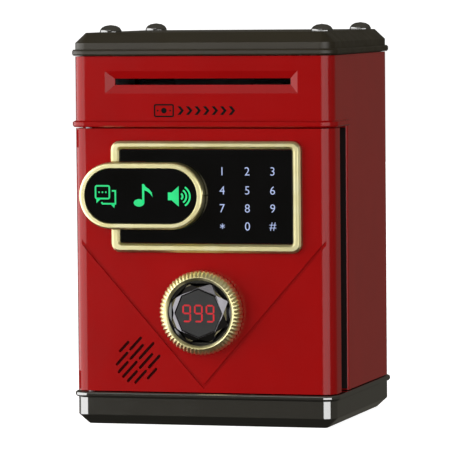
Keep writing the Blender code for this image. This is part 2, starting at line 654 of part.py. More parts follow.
def build_keypad(door):
    """The gold bezel with its black screen, and the touch board behind them."""
    bevel = 1.1
    outline = [
        [(x, y, z) for x, z in front_rectangle(BEZEL, 4.0, grow=-inset)]
        for inset, y in ((0, GAP), (0, -BEZEL_PROUD + bevel), (bevel, -BEZEL_PROUD))
    ]
    bezel = mesh_object("keypad_bezel", lofted(outline), "gold_plate", door)
    opening = [
        [(x, y, z) for x, z in front_rectangle(BEZEL_OPENING, 1.2, grow=out)]
        for out, y in ((0, 2), (0, -BEZEL_PROUD + bevel), (bevel + 0.7, -BEZEL_PROUD - 0.7))
    ]
    cut(bezel, "opening", lofted(opening))
    cut(bezel, "pod_notch", front_plate(stadium(GAP), -9, 4))
    screen_outline = front_rectangle(BEZEL_OPENING, 0.9, grow=-GAP)
    screen = mesh_object("keypad_screen", front_plate(screen_outline, -1.9, -0.4), "black_acrylic", door)
    cut(screen, "pod_notch", front_plate(stadium(GAP), -9, 4))
    mesh_object("touch_board", box(-27.5, 33.5, 0.6, 2.2, 91.5, 122.5), "circuit_board", door)


def build_pod(door):
    """The raised pill-shaped panel that overlaps the keypad: a gold rim, a black screen and its board."""
    roll = 0.9
    front = -POD_PROUD
    rolled = ((0, GAP), (0, front + roll), (0.35 * roll, front + 0.35 * roll), (roll, front))
    outline = [[(x, y, z) for x, z in stadium(-inset)] for inset, y in rolled]
    rim = mesh_object("pod_bezel", lofted(outline), "gold_plate", door)
    cut(rim, "opening", front_plate(stadium(-POD_RIM), -12, 4))
    mesh_object("pod_screen", front_plate(stadium(-POD_RIM - GAP), -6.5, -5.0), "black_acrylic", door)
    mesh_object("pod_board", front_plate(stadium(-POD_RIM - 1.5), -4.6, -3.2), "circuit_board", door)


def build_speaker(door):
    """The small loudspeaker behind the slanted slots."""
    x, z = SPEAKER
    r = SPEAKER_R
    outer_side = [(r - 1.6, 2.9), (r, 2.9), (r, 4.6), (r - 3.0, 7.6), (2.5, 7.6)]
    frame_profile = [*outer_side, (2.5, 6.6), (r - 3.6, 6.6), (r - 1.6, 4.4)]
    mesh_object("speaker_frame", turned(frame_profile, (x, 0, z), (0, 1, 0), 24), "steel", door)
    cone_profile = [(0, 5.0), (2.2, 5.2), (r - 1.9, 3.2), (r - 1.9, 3.6), (2.2, 6.2), (0, 6.2)]
    mesh_object("speaker_cone", turned(cone_profile, (x, 0, z), (0, 1, 0), 24), "paper_cone", door)
    mesh_object("speaker_magnet", rod(6.0, (x, 7.9, z), (0, 1, 0), 4.0, 20), "steel", door)


def build_display(door):
    """The faceted display at the middle of the knob. It stays upright while the knob turns round it."""
    bm = bmesh.new()
    back, edge = ([bm.verts.new(p) for p in octagon(CAP_R, y, pi / 8)] for y in CAP_EDGE_Y)
    face = [bm.verts.new(p) for p in octagon(CAP_FACE_R, -CAP_PROUD, 0.0)]
    bm.faces.new(back)
    bm.faces.new(face)
    for i in range(8):
        j = (i + 1) % 8
        bm.faces.new((back[i], back[j], edge[j], edge[i]))
        bm.faces.new((edge[i], edge[j], face[j]))
        bm.faces.new((face[i], edge[i], face[j]))
    cap = mesh_object("display_cap", bm, "smoked_chrome", door)
    pocket = [octagon(CAP_FACE_R - 0.5, y, 0.0) for y in (-CAP_PROUD - 1, -6.9)]
    cut(cap, "window_pocket", lofted(pocket))
    x, z = KNOB_CENTRE
    half, tall = (size / 2 for size in MODULE_SIZE)
    room = 0.3
    cut(cap, "module_way", box(x - half - room, x + half + room, -8, -1, z - tall - room, z + tall + room))
    window = [octagon(CAP_FACE_R - 0.8, y, 0.0) for y in (-CAP_PROUD, -7.2)]
    mesh_object("display_window", lofted(window), "display_face", door)
    module = box(x - half, x + half, -6.8, -3.4, z - tall, z + tall)
    mesh_object("display_module", module, "circuit_board", door)
    back_end = COVER_BACK - 2.3
    stem = [(3.2, -2.7), (9.8, -2.7), (9.8, -1.2), (5.0, -1.2), (5.0, back_end), (3.2, back_end)]
    mesh_object("display_stem", turned(stem, (x, 0, z), (0, 1, 0), 24), "grey_abs", door)


def build_knob(knob):
    """The knurled ring that is turned by hand, and the cam on its sleeve."""
    x, z = KNOB_CENTRE
    bm = bmesh.new()
    rows = []
    count = 2 * KNOB_FLUTES
    for radius, y, deep in KNOB_ROWS:
        row = []
        for step in range(count):
            angle = pi * step / KNOB_FLUTES
            reach = radius - (deep if step % 2 else 0)
            row.append(bm.verts.new((x + reach * cos(angle), y, z + reach * sin(angle))))
        rows.append(row)
    for low, high in zip(rows, rows[1:]):
        for i in range(count):
            j = (i + 1) % count
            bm.faces.new((low[i], low[j], high[j], high[i]))
    bm.faces.new(rows[0])
    bm.faces.new(rows[-1])
    ring = mesh_object("knob_ring", bm, "gold_plate", knob)
    join(ring, "sleeve", rod(KNOB_SLEEVE_R, (x, -1.0, z), (0, 1, 0), 9.4, 32))
    mouth_r = KNOB_BORE_R + 1.2
    shoulder, floor = -KNOB_PROUD + 1.0, -2.6
    dish = [(0, -12), (mouth_r, -12), (mouth_r, -KNOB_PROUD - 0.1), (KNOB_BORE_R, shoulder)]
    dish += [(KNOB_BORE_R, floor), (KNOB_SLEEVE_BORE_R, floor), (KNOB_SLEEVE_BORE_R, 12), (0, 12)]
    cut(ring, "dish", turned(dish, (x, 0, z), (0, 1, 0), 40))

    socket_r = KNOB_SLEEVE_R + GAP
    profile = [(socket_r, 2.9), (CAM_R - 1.0, 2.9), (CAM_R - 1.0, 9.0), (CAM_R, 9.0)]
    profile += [(CAM_R, 14.5), (5.6, 14.5), (5.6, 9.0), (socket_r, 9.0)]
    cam = mesh_object("knob_cam", turned(profile, (x, 0, z), (0, 1, 0), 32), "white_nylon", knob)
    start = pi / 2 + KNOB_TURN / 2
    pin = (x + CAM_PIN_R * cos(start), 12.0, z + CAM_PIN_R * sin(start))
    join(cam, "pin", rod(1.5, pin, (0, 1, 0), 8.2, 12))
    for index, angle in enumerate((pi, pi + KNOB_TURN)):
        notch = box(-20, -12.4, 8.0, 16, -2.1, 2.1)
        bmesh.ops.rotate(notch, cent=(0, 0, 0), matrix=Matrix.Rotation(pi - angle, 3, "Y"), verts=notch.verts)
        bmesh.ops.translate(notch, vec=(x, 0, z), verts=notch.verts)
        cut(cam, f"notch_{index}", notch)


def build_lock(door, bolt_axis, plunger_axis):
    """The bolt that the cam slides, and the solenoid whose plunger drops into the cam's notches."""
    x, z = KNOB_CENTRE
    bolt = mesh_object("latch_bolt", box(-11, BOLT_TIP_X, *BOLT_Y, *BOLT_Z), "steel", bolt_axis)
    pin_x = x - BOLT_TRAVEL / 2
    cut(bolt, "pin_slot", box(pin_x - 1.8, pin_x + 1.8, 15, 22, 55, z + CAM_PIN_R + 1.9))
    body = mesh_object("lock_solenoid", box(-44, -26, 7.5, 17.5, 47.8, 58.8), "steel", door)
    cut(body, "bore", rod(2.0, (-42, PLUNGER_Y, z), (1, 0, 0), 20, 16))
    reach = -CAM_R - GAP
    plunger = rod(1.7, (-38, PLUNGER_Y, z), (1, 0, 0), 38 + reach, 12)
    mesh_object("lock_plunger", plunger, "steel", plunger_axis)
    mesh_object("main_board", box(-30, 38, 12, 13.6, 72, 126), "circuit_board", door)


def build_bank():
    clear_scene()
    frame = axis_empty("bank_frame", (0, FRONT_Y, 0))
    frame["centre"] = [0.0, 0.0, 0.0]
    build_case(frame)
    build_base(frame)
    build_feeder(frame)
    build_hinge(frame)
    door = axis_empty("door_hinge_axis", (*HINGE, 0), frame)
    build_door(door)
    build_keypad(door)
    build_pod(door)
    build_speaker(door)
    build_display(door)
    knob = axis_empty("knob_axis", (KNOB_CENTRE[0], 0, KNOB_CENTRE[1]), door)
    build_knob(knob)
    bolt_axis = axis_empty("bolt_axis", (0, sum(BOLT_Y) / 2, sum(BOLT_Z) / 2), door)
    plunger_axis = axis_empty("plunger_axis", (0, PLUNGER_Y, KNOB_CENTRE[1]), door)
    build_lock(door, bolt_axis, plunger_axis)


build_bank()
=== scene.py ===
"""The visible model of a toy cash bank: a red moulded box with a keypad door, a knurled lock knob and a note feeder.

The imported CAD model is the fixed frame. Every class below dresses one sub-assembly of it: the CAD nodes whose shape
is right get a finish, and the mouldings that need soft edges are rebuilt from their own CAD mesh with rounded
corners. Places come from the CAD nodes' boxes.
"""

import json
import logging
from collections.abc import Callable, Mapping, Sequence
from dataclasses import dataclass, field
from enum import Enum
from math import cos, pi, radians, sin
from typing import ClassVar

import bmesh
import bpy
from mathutils import Matrix, Vector

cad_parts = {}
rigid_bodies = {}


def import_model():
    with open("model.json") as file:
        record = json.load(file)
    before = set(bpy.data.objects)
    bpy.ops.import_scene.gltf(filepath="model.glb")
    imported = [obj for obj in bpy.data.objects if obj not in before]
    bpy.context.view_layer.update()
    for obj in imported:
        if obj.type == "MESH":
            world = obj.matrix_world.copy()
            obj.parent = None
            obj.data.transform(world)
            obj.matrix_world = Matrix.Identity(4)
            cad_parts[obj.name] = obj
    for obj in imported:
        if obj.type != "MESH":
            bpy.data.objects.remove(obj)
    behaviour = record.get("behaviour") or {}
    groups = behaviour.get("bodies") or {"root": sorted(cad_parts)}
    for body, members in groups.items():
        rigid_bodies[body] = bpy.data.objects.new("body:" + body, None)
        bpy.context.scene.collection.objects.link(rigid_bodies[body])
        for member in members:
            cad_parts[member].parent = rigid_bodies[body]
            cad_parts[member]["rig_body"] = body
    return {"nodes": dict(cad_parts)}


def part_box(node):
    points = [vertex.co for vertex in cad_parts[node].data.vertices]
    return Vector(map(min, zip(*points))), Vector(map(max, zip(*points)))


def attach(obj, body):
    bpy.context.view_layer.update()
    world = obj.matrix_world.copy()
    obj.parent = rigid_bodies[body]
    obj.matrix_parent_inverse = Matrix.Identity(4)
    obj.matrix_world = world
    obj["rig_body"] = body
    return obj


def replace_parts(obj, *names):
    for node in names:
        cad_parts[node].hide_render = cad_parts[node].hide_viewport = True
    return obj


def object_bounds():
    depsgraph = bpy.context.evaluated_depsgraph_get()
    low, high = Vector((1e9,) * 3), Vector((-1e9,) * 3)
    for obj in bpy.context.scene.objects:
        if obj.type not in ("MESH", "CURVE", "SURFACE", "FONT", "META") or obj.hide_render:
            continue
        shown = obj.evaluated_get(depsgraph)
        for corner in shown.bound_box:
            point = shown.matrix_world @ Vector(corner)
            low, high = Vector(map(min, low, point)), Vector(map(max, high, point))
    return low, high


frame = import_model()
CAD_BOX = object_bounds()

MM = 0.001
WATTS_PER_RADIANCE = pi
TOUCHING = 0.001 * MM
# In degrees: what still counts as flat, what is shaded as one bend, and what gets a rounded edge.
FLAT, BEND, CORNER = 0.4, 19.5, 28.0
FULL = (0.0, 1.0)
WHITE = (1.0, 1.0, 1.0, 1.0)
# The height of a capital as a share of the font's size.
CAPITAL = 0.7
LOG = logging.getLogger("bank")

Point = tuple[float, float]
Tree = bpy.types.NodeTree
Node = bpy.types.Node
Socket = bpy.types.NodeSocket
Mesh = bpy.types.Mesh
Shape = bmesh.types.BMesh
Change = Callable[[Shape], None]


class Body(Enum):
    """The moving bodies of the CAD model that new pieces ride on."""

    CASE = "case"
    DOOR = "door"
    KNOB = "knob"


def linear(code: str) -> tuple[float, float, float, float]:
    """Turns an sRGB hex colour to a linear one.

    Args:
        code: The colour as "#rrggbb".

    Returns:
        Red, green, blue and alpha, as Blender's sockets take them.
    """
    shares = [int(code[place : place + 2], 16) / 255 for place in (1, 3, 5)]
    channels = [s / 12.92 if s <= 0.04045 else ((s + 0.055) / 1.055) ** 2.4 for s in shares]
    return (*channels, 1.0)


def feed(socket: Socket, value: object) -> None:
    """Links an input socket to an output socket, or sets it to a value.

    Args:
        socket: The input.
        value: The output that feeds it, or its value.
    """
    if isinstance(value, Socket):
        socket.id_data.links.new(value, socket)
    else:
        socket.default_value = value


def add(tree: Tree, kind: str, inputs: Mapping | None = None, **settings: object) -> Node:
    """Adds a node with its settings and its links.

    Args:
        tree: The node tree that gets the node.
        kind: Blender's name for the kind of node.
        inputs: For each input, by name or place, a value or the output socket that feeds it.
        settings: Properties of the node itself.

    Returns:
        The node.
    """
    node = tree.nodes.new(kind)
    for name, value in settings.items():
        setattr(node, name, value)
    for key, value in (inputs or {}).items():
        feed(node.inputs[key], value)
    return node


def per_mm(size: float) -> float:
    """The Scale of a pattern on Object coordinates whose cells are this many millimetres."""
    return 1 / (size * MM)


# ---- finishes


@dataclass
class Coat:
    """A finish while it is being mixed.

    Attributes:
        tree: The material's node tree.
        shader: Its shader.
        where: The Object coordinates.
    """

    tree: Tree
    shader: Node
    where: Socket

    def cloud(self, size: float, detail: float, span: Point | None = None, where: Socket | None = None) -> Socket:
        """Soft patches of a real size.

        Args:
            size: The size of a patch.
            detail: How many finer octaves are added.
            span: A range that the pattern's middle third is stretched to fill.
            where: Other coordinates than the plain ones.

        Returns:
            The pattern.
        """
        inputs = {"Vector": where or self.where, "Scale": per_mm(size), "Detail": detail}
        pattern = add(self.tree, "ShaderNodeTexNoise", inputs).outputs["Fac"]
        if not span:
            return pattern
        inputs = {"Value": pattern, "From Min": 0.33, "From Max": 0.67, "To Min": span[0], "To Max": span[1]}
        return add(self.tree, "ShaderNodeMapRange", inputs).outputs["Result"]

    def tint(self, share: Socket, first: str, second: str) -> None:
        """Blends two sRGB hex colours by a pattern from 0 to 1 and colours the finish with them."""
        inputs = {"Factor": share, "A": linear(first), "B": linear(second)}
        self.give("Base Color", add(self.tree, "ShaderNodeMix", inputs, data_type="RGBA").outputs["Result"])

    def emboss(self, height: Socket, depth: float, strength: float) -> None:
        """Raises a pattern from the surface, to a depth in millimetres."""
        inputs = {"Height": height, "Distance": depth * MM, "Strength": strength}
        self.give("Normal", add(self.tree, "ShaderNodeBump", inputs).outputs["Normal"])

    def give(self, name: str, value: object) -> None:
        """Sets or feeds one of the shader's sockets."""
        feed(self.shader.inputs[name], value)


@dataclass(frozen=True)
class Finish:
    """What every finish has: a name, a colour and a way to build its material once.

    Attributes:
        name: The material's name.
        colour: Its sRGB hex colour.
        slot: The record's material slot that it stands for; it is not used.
    """

    name: str
    colour: str
    slot: str

    def material(self) -> bpy.types.Material:
        """Builds the material, or returns the one already built.

        Returns:
            The material.
        """
        known = bpy.data.materials.get(self.name)
        if known:
            return known
        made = bpy.data.materials.new(self.name)
        made.use_nodes = True
        tree = made.node_tree
        tree.nodes.clear()
        shader = add(tree, "ShaderNodeBsdfPrincipled")
        add(tree, "ShaderNodeOutputMaterial", {"Surface": shader.outputs["BSDF"]})
        self.paint(Coat(tree, shader, add(tree, "ShaderNodeTexCoord").outputs["Object"]))
        return made

    def put_on(self, mesh: Mesh) -> None:
        """Makes this finish a mesh's only material."""
        mesh.materials.clear()
        mesh.materials.append(self.material())

    def paint(self, coat: Coat) -> None:
        """Mixes the coat; each kind of finish has its own way."""
        raise NotImplementedError


@dataclass(frozen=True)
class Lens(Finish):
    """A polished acrylic window with a dark back print: deep black, mirror gloss and a trace of handling haze.

    Attributes:
        shadow: The colour that the body or the back print drifts to.
        gloss: The lowest and highest roughness.
        ior: The index of refraction, which sets how much the skin mirrors.
        drift: The size of the patches of colour.
        haze: The size of the patches of gloss.
    """

    shadow: str = "#101014"
    gloss: Point = (0.03, 0.12)
    ior: float = 1.49
    drift: ClassVar[float] = 18.0
    haze: ClassVar[float] = 4.0

    def paint(self, coat: Coat) -> None:
        """Drifts the colour and varies the gloss.

        Args:
            coat: What it is mixed in.
        """
        coat.tint(coat.cloud(self.drift, 2.0, FULL), self.colour, self.shadow)
        coat.give("Roughness", coat.cloud(self.haze, 4.0, self.gloss))
        coat.give("IOR", self.ior)


@dataclass(frozen=True)
class Moulded(Lens):
    """Injection-moulded thermoplastic: the same even skin with a faint flow mottle, and the mould's grain on it.

    Attributes:
        grain: The size of the mould's spark-eroded grain.
        depth: The height of the grain.
    """

    grain: float = 0.5
    depth: float = 0.004
    drift: ClassVar[float] = 25.0
    haze: ClassVar[float] = 6.0

    def paint(self, coat: Coat) -> None:
        """Adds the grain to the skin.

        Args:
            coat: What it is mixed in.
        """
        super().paint(coat)
        coat.emboss(coat.cloud(self.grain, 1.0), self.depth, 0.5)


@dataclass(frozen=True)
class Plated(Finish):
    """Bright metal plate or bare turned metal: full reflection, fine polishing marks and a little tarnish.

    Attributes:
        tarnish: The colour that the plate drifts to.
        gloss: The lowest and highest roughness.
        marks: The spacing of the polishing marks.
        drift: The size of the patches of tarnish.
        drawn: How much longer the marks are along X, as a scale of the coordinates.
        depth: The depth of the marks.
    """

    tarnish: str = "#000000"
    gloss: Point = (0.12, 0.2)
    marks: float = 0.3
    drift: float = 9.0
    drawn: float = 0.12
    depth: float = 0.002

    def paint(self, coat: Coat) -> None:
        """Tints the metal and draws marks that are long along X.

        Args:
            coat: What it is mixed in.
        """
        coat.tint(coat.cloud(self.drift, 3.0, FULL), self.colour, self.tarnish)
        coat.give("Metallic", 1.0)
        inputs = {"Vector": coat.where, "Scale": (self.drawn, 1.0, 1.0)}
        along = add(coat.tree, "ShaderNodeMapping", inputs).outputs["Vector"]
        coat.give("Roughness", coat.cloud(self.marks, 2.0, self.gloss, along))
        coat.emboss(coat.cloud(self.marks, 2.0, None, along), self.depth, 0.3)


@dataclass(frozen=True)
class Lit(Finish):
    """Printed ink over a light guide: it glows evenly, a little brighter where a light-emitting diode sits.

    Attributes:
        power: The strength of the glow.
        pitch: The spacing of the diodes.
    """

    power: float = 1.0
    pitch: float = 5.0

    def paint(self, coat: Coat) -> None:
        """Sets the glow's colour and lets its strength drift with the diodes' spacing.

        Args:
            coat: What it is mixed in.
        """
        coat.give("Base Color", linear("#000000"))
        coat.give("Roughness", 0.5)
        coat.give("Emission Color", linear(self.colour))
        coat.give("Emission Strength", coat.cloud(self.pitch, 2.0, (0.9 * self.power, 1.1 * self.power)))


@dataclass(frozen=True)
class Speckled(Finish):
    """A dull material with a visible structure: paper pulp, rubber bloom, the flecks of the painted gap shade or
    glass-fibre weave.

    Attributes:
        fleck: The colour of the flecks or threads.
        fleck_size: Their size.
        rough: The roughness.
        woven: Whether the structure is a square weave and not flecks.
        depth: The depth of the structure.
    """

    fleck: str = "#ffffff"
    fleck_size: float = 0.5
    rough: float = 0.8
    woven: bool = False
    depth: float = 0.02

    def paint(self, coat: Coat) -> None:
        """Draws the flecks or the weave in colour and in relief.

        Args:
            coat: What it is mixed in.
        """
        if self.woven:
            inputs = {"Vector": coat.where, "Scale": per_mm(self.fleck_size)}
            pattern = add(coat.tree, "ShaderNodeTexChecker", inputs).outputs["Fac"]
        else:
            pattern = coat.cloud(self.fleck_size, 3.0, FULL)
        coat.tint(pattern, self.colour, self.fleck)
        coat.give("Roughness", self.rough)
        coat.emboss(pattern, self.depth, 0.4)


# Injection-moulded ABS in signal red from a polished mould: saturated, with a clear but soft mirror on its bends.
RED_ABS = Moulded("red_abs_moulded", "#9e0809", "red_abs", "#9a0708", (0.17, 0.2), 1.35, 0.6, 0.001)
# Injection-moulded ABS in carbon black from an eroded mould: satin, so it greys where it faces the lights.
BLACK_ABS = Moulded("black_abs_satin", "#2c2616", "black_abs", "#292315", (0.42, 0.5), 1.55, 0.5, 0.006)
# The same black ABS flashed with black chrome: near black to the eye, with hard bright edges.
BLACK_CHROME_ABS = Moulded("black_abs_chromed", "#15130e", "black_abs", "#12110d", (0.08, 0.11), 3.2, 0.5, 0.001)
# Pale yellow brass flash on polished plastic: it mirrors the room, cream in the light and olive in the shade.
GOLD_PLATE = Plated("gold_flash_plated", "#f8f1c0", "gold_plate", "#f1e7aa", (0.35, 0.4), 0.4)
# Cast acrylic, back-printed black: a deep mirror.
BLACK_ACRYLIC = Lens("black_acrylic_polished", "#040405", "black_acrylic", "#08080a", (0.02, 0.08), 1.45)
# Vacuum-metallised acrylic under a smoke coat: dark facets that flash white.
SMOKED_CHROME = Plated("smoked_chrome_metallised", "#77757a", "smoked_chrome", "#6a686c", (0.03, 0.08), 0.5)
# Tinted acrylic over a numeric display: a flat warm grey, slightly frosted.
DISPLAY_FACE = Lens("display_acrylic_frosted", "#353535", "display_face", "#323232", (0.28, 0.33), 1.45)
# Zinc-plated pressed steel: cool, bright and slightly streaked.
STEEL = Plated("zinc_plated_steel", "#b9bcc0", "steel", "#9da1a6", (0.25, 0.42), 0.5)
# Natural nylon, moulded: milky and waxy.
WHITE_NYLON = Moulded("white_nylon_moulded", "#dcd8cc", "white_nylon", "#d0ccbf", (0.35, 0.5), 1.53, 0.8, 0.01)
# Nitrile rubber, moulded and dusted with talc: almost no shine.
RUBBER = Speckled("nitrile_rubber_dusted", "#1b1b1c", "rubber", "#2a2a2b", 0.6, 0.85)
# Glass-fibre board under green solder mask: the weave shows faintly. Its 0.4 mm threads are drawn at 0.8 mm.
CIRCUIT_BOARD = Speckled("solder_mask_woven", "#0c4a2a", "circuit_board", "#0f5631", 0.8, 0.35, True)
# Grey ABS from an eroded mould, used inside.
GREY_ABS = Moulded("grey_abs_eroded", "#5d6064", "grey_abs", "#55585c", (0.45, 0.6), 1.5, 0.7, 0.02)
# Shrink sleeve round a dry cell: thin glossy film.
CELL_SLEEVE = Moulded("cell_sleeve_shrunk", "#23456f", "cell_sleeve", "#1d3b60", (0.15, 0.25), 1.55, 2.0, 0.02)
# Painted shade for the dark gap beside the door: black with a painted tint of the red light that the case round it
# bounces in, and quite dull.
GAP_SHADE_FOAM = Speckled("painted_gap_shade", "#0d0404", "rubber", "#170808", 0.6, 0.95)
# Woven grille cloth, dyed dark maroon.
GRILLE_CLOTH = Speckled("grille_cloth_dyed", "#3a0709", "paper_cone", "#4a0b0d", 0.4, 0.9)
# Pressed paper pulp: fibrous and dull.
PAPER_CONE = Speckled("paper_pulp_pressed", "#1d1b19", "paper_cone", "#2c2925", 0.5, 0.9)
# Pad-printed black ink on the red ABS: flat, slightly duller than the plastic.
BLACK_INK = Moulded("black_ink_pad_printed", "#0a0909", "black_abs", "#0e0d0d", (0.6, 0.7), 1.15, 0.3, 0.003)
# Ice-blue legends, lit from behind through the acrylic.
BLUE_LEGEND = Lit("legend_ink_backlit", "#b4c4f0", "black_acrylic", 0.95, 8.0)
# Green icons, lit from behind through the acrylic.
GREEN_ICON = Lit("icon_ink_backlit", "#0ee684", "black_acrylic", 0.95, 10.0)
# Red bars of a light-emitting-diode display behind tinted acrylic.
RED_BAR = Lit("display_bar_lit", "#d00f20", "display_face", 0.95, 3.0)


# ---- making pieces


def hang(name: str, data: bpy.types.ID) -> bpy.types.Object:
    """Puts an object in the scene.

    Args:
        name: Its name.
        data: Its mesh, curve, light or camera.

    Returns:
        The object.
    """
    made = bpy.data.objects.new(name, data)
    bpy.context.scene.collection.objects.link(made)
    return made


def piece(name: str, mesh: Mesh, finish: Finish, body: Body) -> bpy.types.Object:
    """Adds a finished mesh as a piece of the object.

    Args:
        name: The piece's name.
        mesh: Its mesh, in place.
        finish: Its finish.
        body: The CAD body that it rides on.

    Returns:
        The piece.
    """
    mesh.name = name
    finish.put_on(mesh)
    made = hang(name, mesh)
    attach(made, body.value)
    LOG.info("%s: %d faces on %s", name, len(mesh.polygons), body.value)
    return made


def dress(finish: Finish, *nodes: str) -> None:
    """Gives CAD nodes a finish and leaves their shape alone.

    Args:
        finish: The finish.
        nodes: The CAD nodes' names.
    """
    for name in nodes:
        finish.put_on(frame["nodes"][name].data)
        LOG.info("%s: CAD shape in %s", name, finish.name)


def flatten(shape: Shape) -> None:
    """Removes the edges inside a shape's flat faces, except those marked as seams."""
    everything = {"verts": shape.verts, "edges": shape.edges}
    bmesh.ops.dissolve_limit(shape, angle_limit=radians(FLAT), delimit={"SEAM"}, **everything)


def merged_copy(node: str, change: Change | None = None) -> Mesh:
    """Copies a CAD node's mesh, joins its loose triangles and removes the edges inside its flat faces.

    Args:
        node: The CAD node's name.
        change: What else is done to the shape before its flat faces are merged.

    Returns:
        The new mesh.
    """
    mesh = frame["nodes"][node].data.copy()
    if "custom_normal" in mesh.attributes:
        mesh.attributes.remove(mesh.attributes["custom_normal"])
    shape = bmesh.new()
    shape.from_mesh(mesh)
    bmesh.ops.remove_doubles(shape, verts=shape.verts, dist=2 * TOUCHING)
    if change:
        change(shape)
    flatten(shape)
    for edge in shape.edges:
        edge.smooth = len(edge.link_faces) == 2 and edge.calc_face_angle(pi) < radians(BEND)
    for face in shape.faces:
        face.smooth = True
    shape.to_mesh(mesh)
    shape.free()
    return mesh


def moulding(name: str, finish: Finish, node: str, edge: float, change: Change | None = None) -> None:
    """Rebuilds a CAD node with small rounded edges and smooth bends, and lets it stand for the node.

    Args:
        name: The new piece's name.
        finish: Its finish.
        node: The CAD node that it stands for.
        edge: The radius of its edges.
        change: What else is done to the shape first.
    """
    work = hang("moulding_work", merged_copy(node, change))
    rounding = work.modifiers.new("edges", "BEVEL")
    rounding.width = edge * MM
    rounding.segments = 2
    rounding.limit_method = "ANGLE"
    rounding.angle_limit = radians(CORNER)
    rounding.miter_outer = "MITER_ARC"
    even = work.modifiers.new("flats", "WEIGHTED_NORMAL")
    even.weight = 80
    even.keep_sharp = True
    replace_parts(piece(name, settled(work), finish, Body(frame["nodes"][node]["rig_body"])), node)


def settled(work: bpy.types.Object) -> Mesh:
    """Turns a helper object and its modifiers to a plain mesh, and removes the helper.

    Args:
        work: The helper object.

    Returns:
        Its evaluated mesh.
    """
    bpy.context.view_layer.update()
    graph = bpy.context.evaluated_depsgraph_get()
    mesh = bpy.data.meshes.new_from_object(
        work.evaluated_get(graph), preserve_all_data_layers=True, depsgraph=graph
    )
    work.modifiers.clear()
    bpy.data.objects.remove(work)
    return mesh


def grown(tree: Tree, seed: Shape, finish: Finish, **sizes: object) -> Mesh:
    """Runs a Geometry Nodes tree on a seed mesh.

    Args:
        tree: The tree.
        seed: The shape that the tree repeats; it is freed.
        finish: What the tree sets as its material.
        sizes: A value for each of the tree's other named inputs.

    Returns:
        The mesh that the tree makes.
    """
    sizes["Material"] = finish.material()
    work = hang("seed_work", mesh_from(seed))
    grow = work.modifiers.new("grow", "NODES")
    grow.node_group = tree
    for socket in tree.interface.items_tree:
        if socket.in_out == "INPUT" and socket.name in sizes:
            grow[socket.identifier] = sizes[socket.name]
    return settled(work)


def new_tree(name: str, *vectors: str) -> tuple[Tree, Mapping[str, Socket]]:
    """Starts a Geometry Nodes tree that repeats its seed.

    Args:
        name: The tree's name.
        vectors: The names of its inputs besides the seed, Count and Material.

    Returns:
        The tree and its inputs' sockets.
    """
    tree = bpy.data.node_groups.new(name, "GeometryNodeTree")
    kinds = {"Geometry": "Geometry", "Count": "Int", **dict.fromkeys(vectors, "Vector"), "Material": "Material"}
    for label, kind in kinds.items():
        tree.interface.new_socket(label, in_out="INPUT", socket_type=f"NodeSocket{kind}")
    tree.interface.new_socket("Geometry", in_out="OUTPUT", socket_type="NodeSocketGeometry")
    return tree, add(tree, "NodeGroupInput").outputs


def close_tree(tree: Tree, made: Socket, finish: Socket) -> Tree:
    """Ends a tree: its instances become real, touching points are merged and the material is set.

    Args:
        tree: The tree.
        made: The instances.
        finish: The material.

    Returns:
        The tree.
    """
    real = add(tree, "GeometryNodeRealizeInstances", {"Geometry": made})
    joined = add(tree, "GeometryNodeMergeByDistance", {"Geometry": real.outputs[0], "Distance": TOUCHING})
    dressed = add(tree, "GeometryNodeSetMaterial", {"Geometry": joined.outputs[0], "Material": finish})
    add(tree, "NodeGroupOutput", {"Geometry": dressed.outputs[0]})
    return tree


def ring_tree() -> Tree:
    """A tree that repeats its seed round the Y axis through a centre.

    Returns:
        The tree, with inputs Count, Centre and Material.
    """
    tree, given = new_tree("round_an_axis", "Centre")
    points = add(tree, "GeometryNodePoints", {"Count": given["Count"]})
    place = add(tree, "GeometryNodeInputIndex").outputs[0]
    turn = add(tree, "ShaderNodeMath", {0: place, 1: 2 * pi}, operation="MULTIPLY").outputs[0]
    share = add(tree, "ShaderNodeMath", {0: turn, 1: given["Count"]}, operation="DIVIDE").outputs[0]
    spin = add(tree, "ShaderNodeCombineXYZ", {"Y": share}).outputs[0]
    inputs = {"Points": points.outputs[0], "Instance": given["Geometry"], "Rotation": spin}
    copies = add(tree, "GeometryNodeInstanceOnPoints", inputs)
    inputs = {"Geometry": copies.outputs[0], "Translation": given["Centre"]}
    moved = add(tree, "GeometryNodeTransform", inputs)
    return close_tree(tree, moved.outputs[0], given["Material"])


def row_tree() -> Tree:
    """A tree that repeats its seed along a line.

    Returns:
        The tree, with inputs Count, Start, Step and Material.
    """
    tree, given = new_tree("along_a_row", "Start", "Step")
    inputs = {"Count": given["Count"], "Start Location": given["Start"], "Offset": given["Step"]}
    line = add(tree, "GeometryNodeMeshLine", inputs)
    inputs = {"Points": line.outputs[0], "Instance": given["Geometry"]}
    copies = add(tree, "GeometryNodeInstanceOnPoints", inputs)
    return close_tree(tree, copies.outputs[0], given["Material"])


# ---- flat artwork


def prism(shape: Shape, *ends: Sequence[tuple[float, float, float]]) -> None:
    """Adds a closed form between two outlines.

    Args:
        shape: The mesh that gets it.
        ends: The two outlines, with as many points each.
    """
    near, far = rings = [[shape.verts.new(Vector(point) * MM) for point in end] for end in ends]
    faces = [shape.faces.new(ring) for ring in rings]
    faces += [shape.faces.new((near[i - 1], near[i], far[i], far[i - 1])) for i in range(len(near))]
    bmesh.ops.recalc_face_normals(shape, faces=faces)


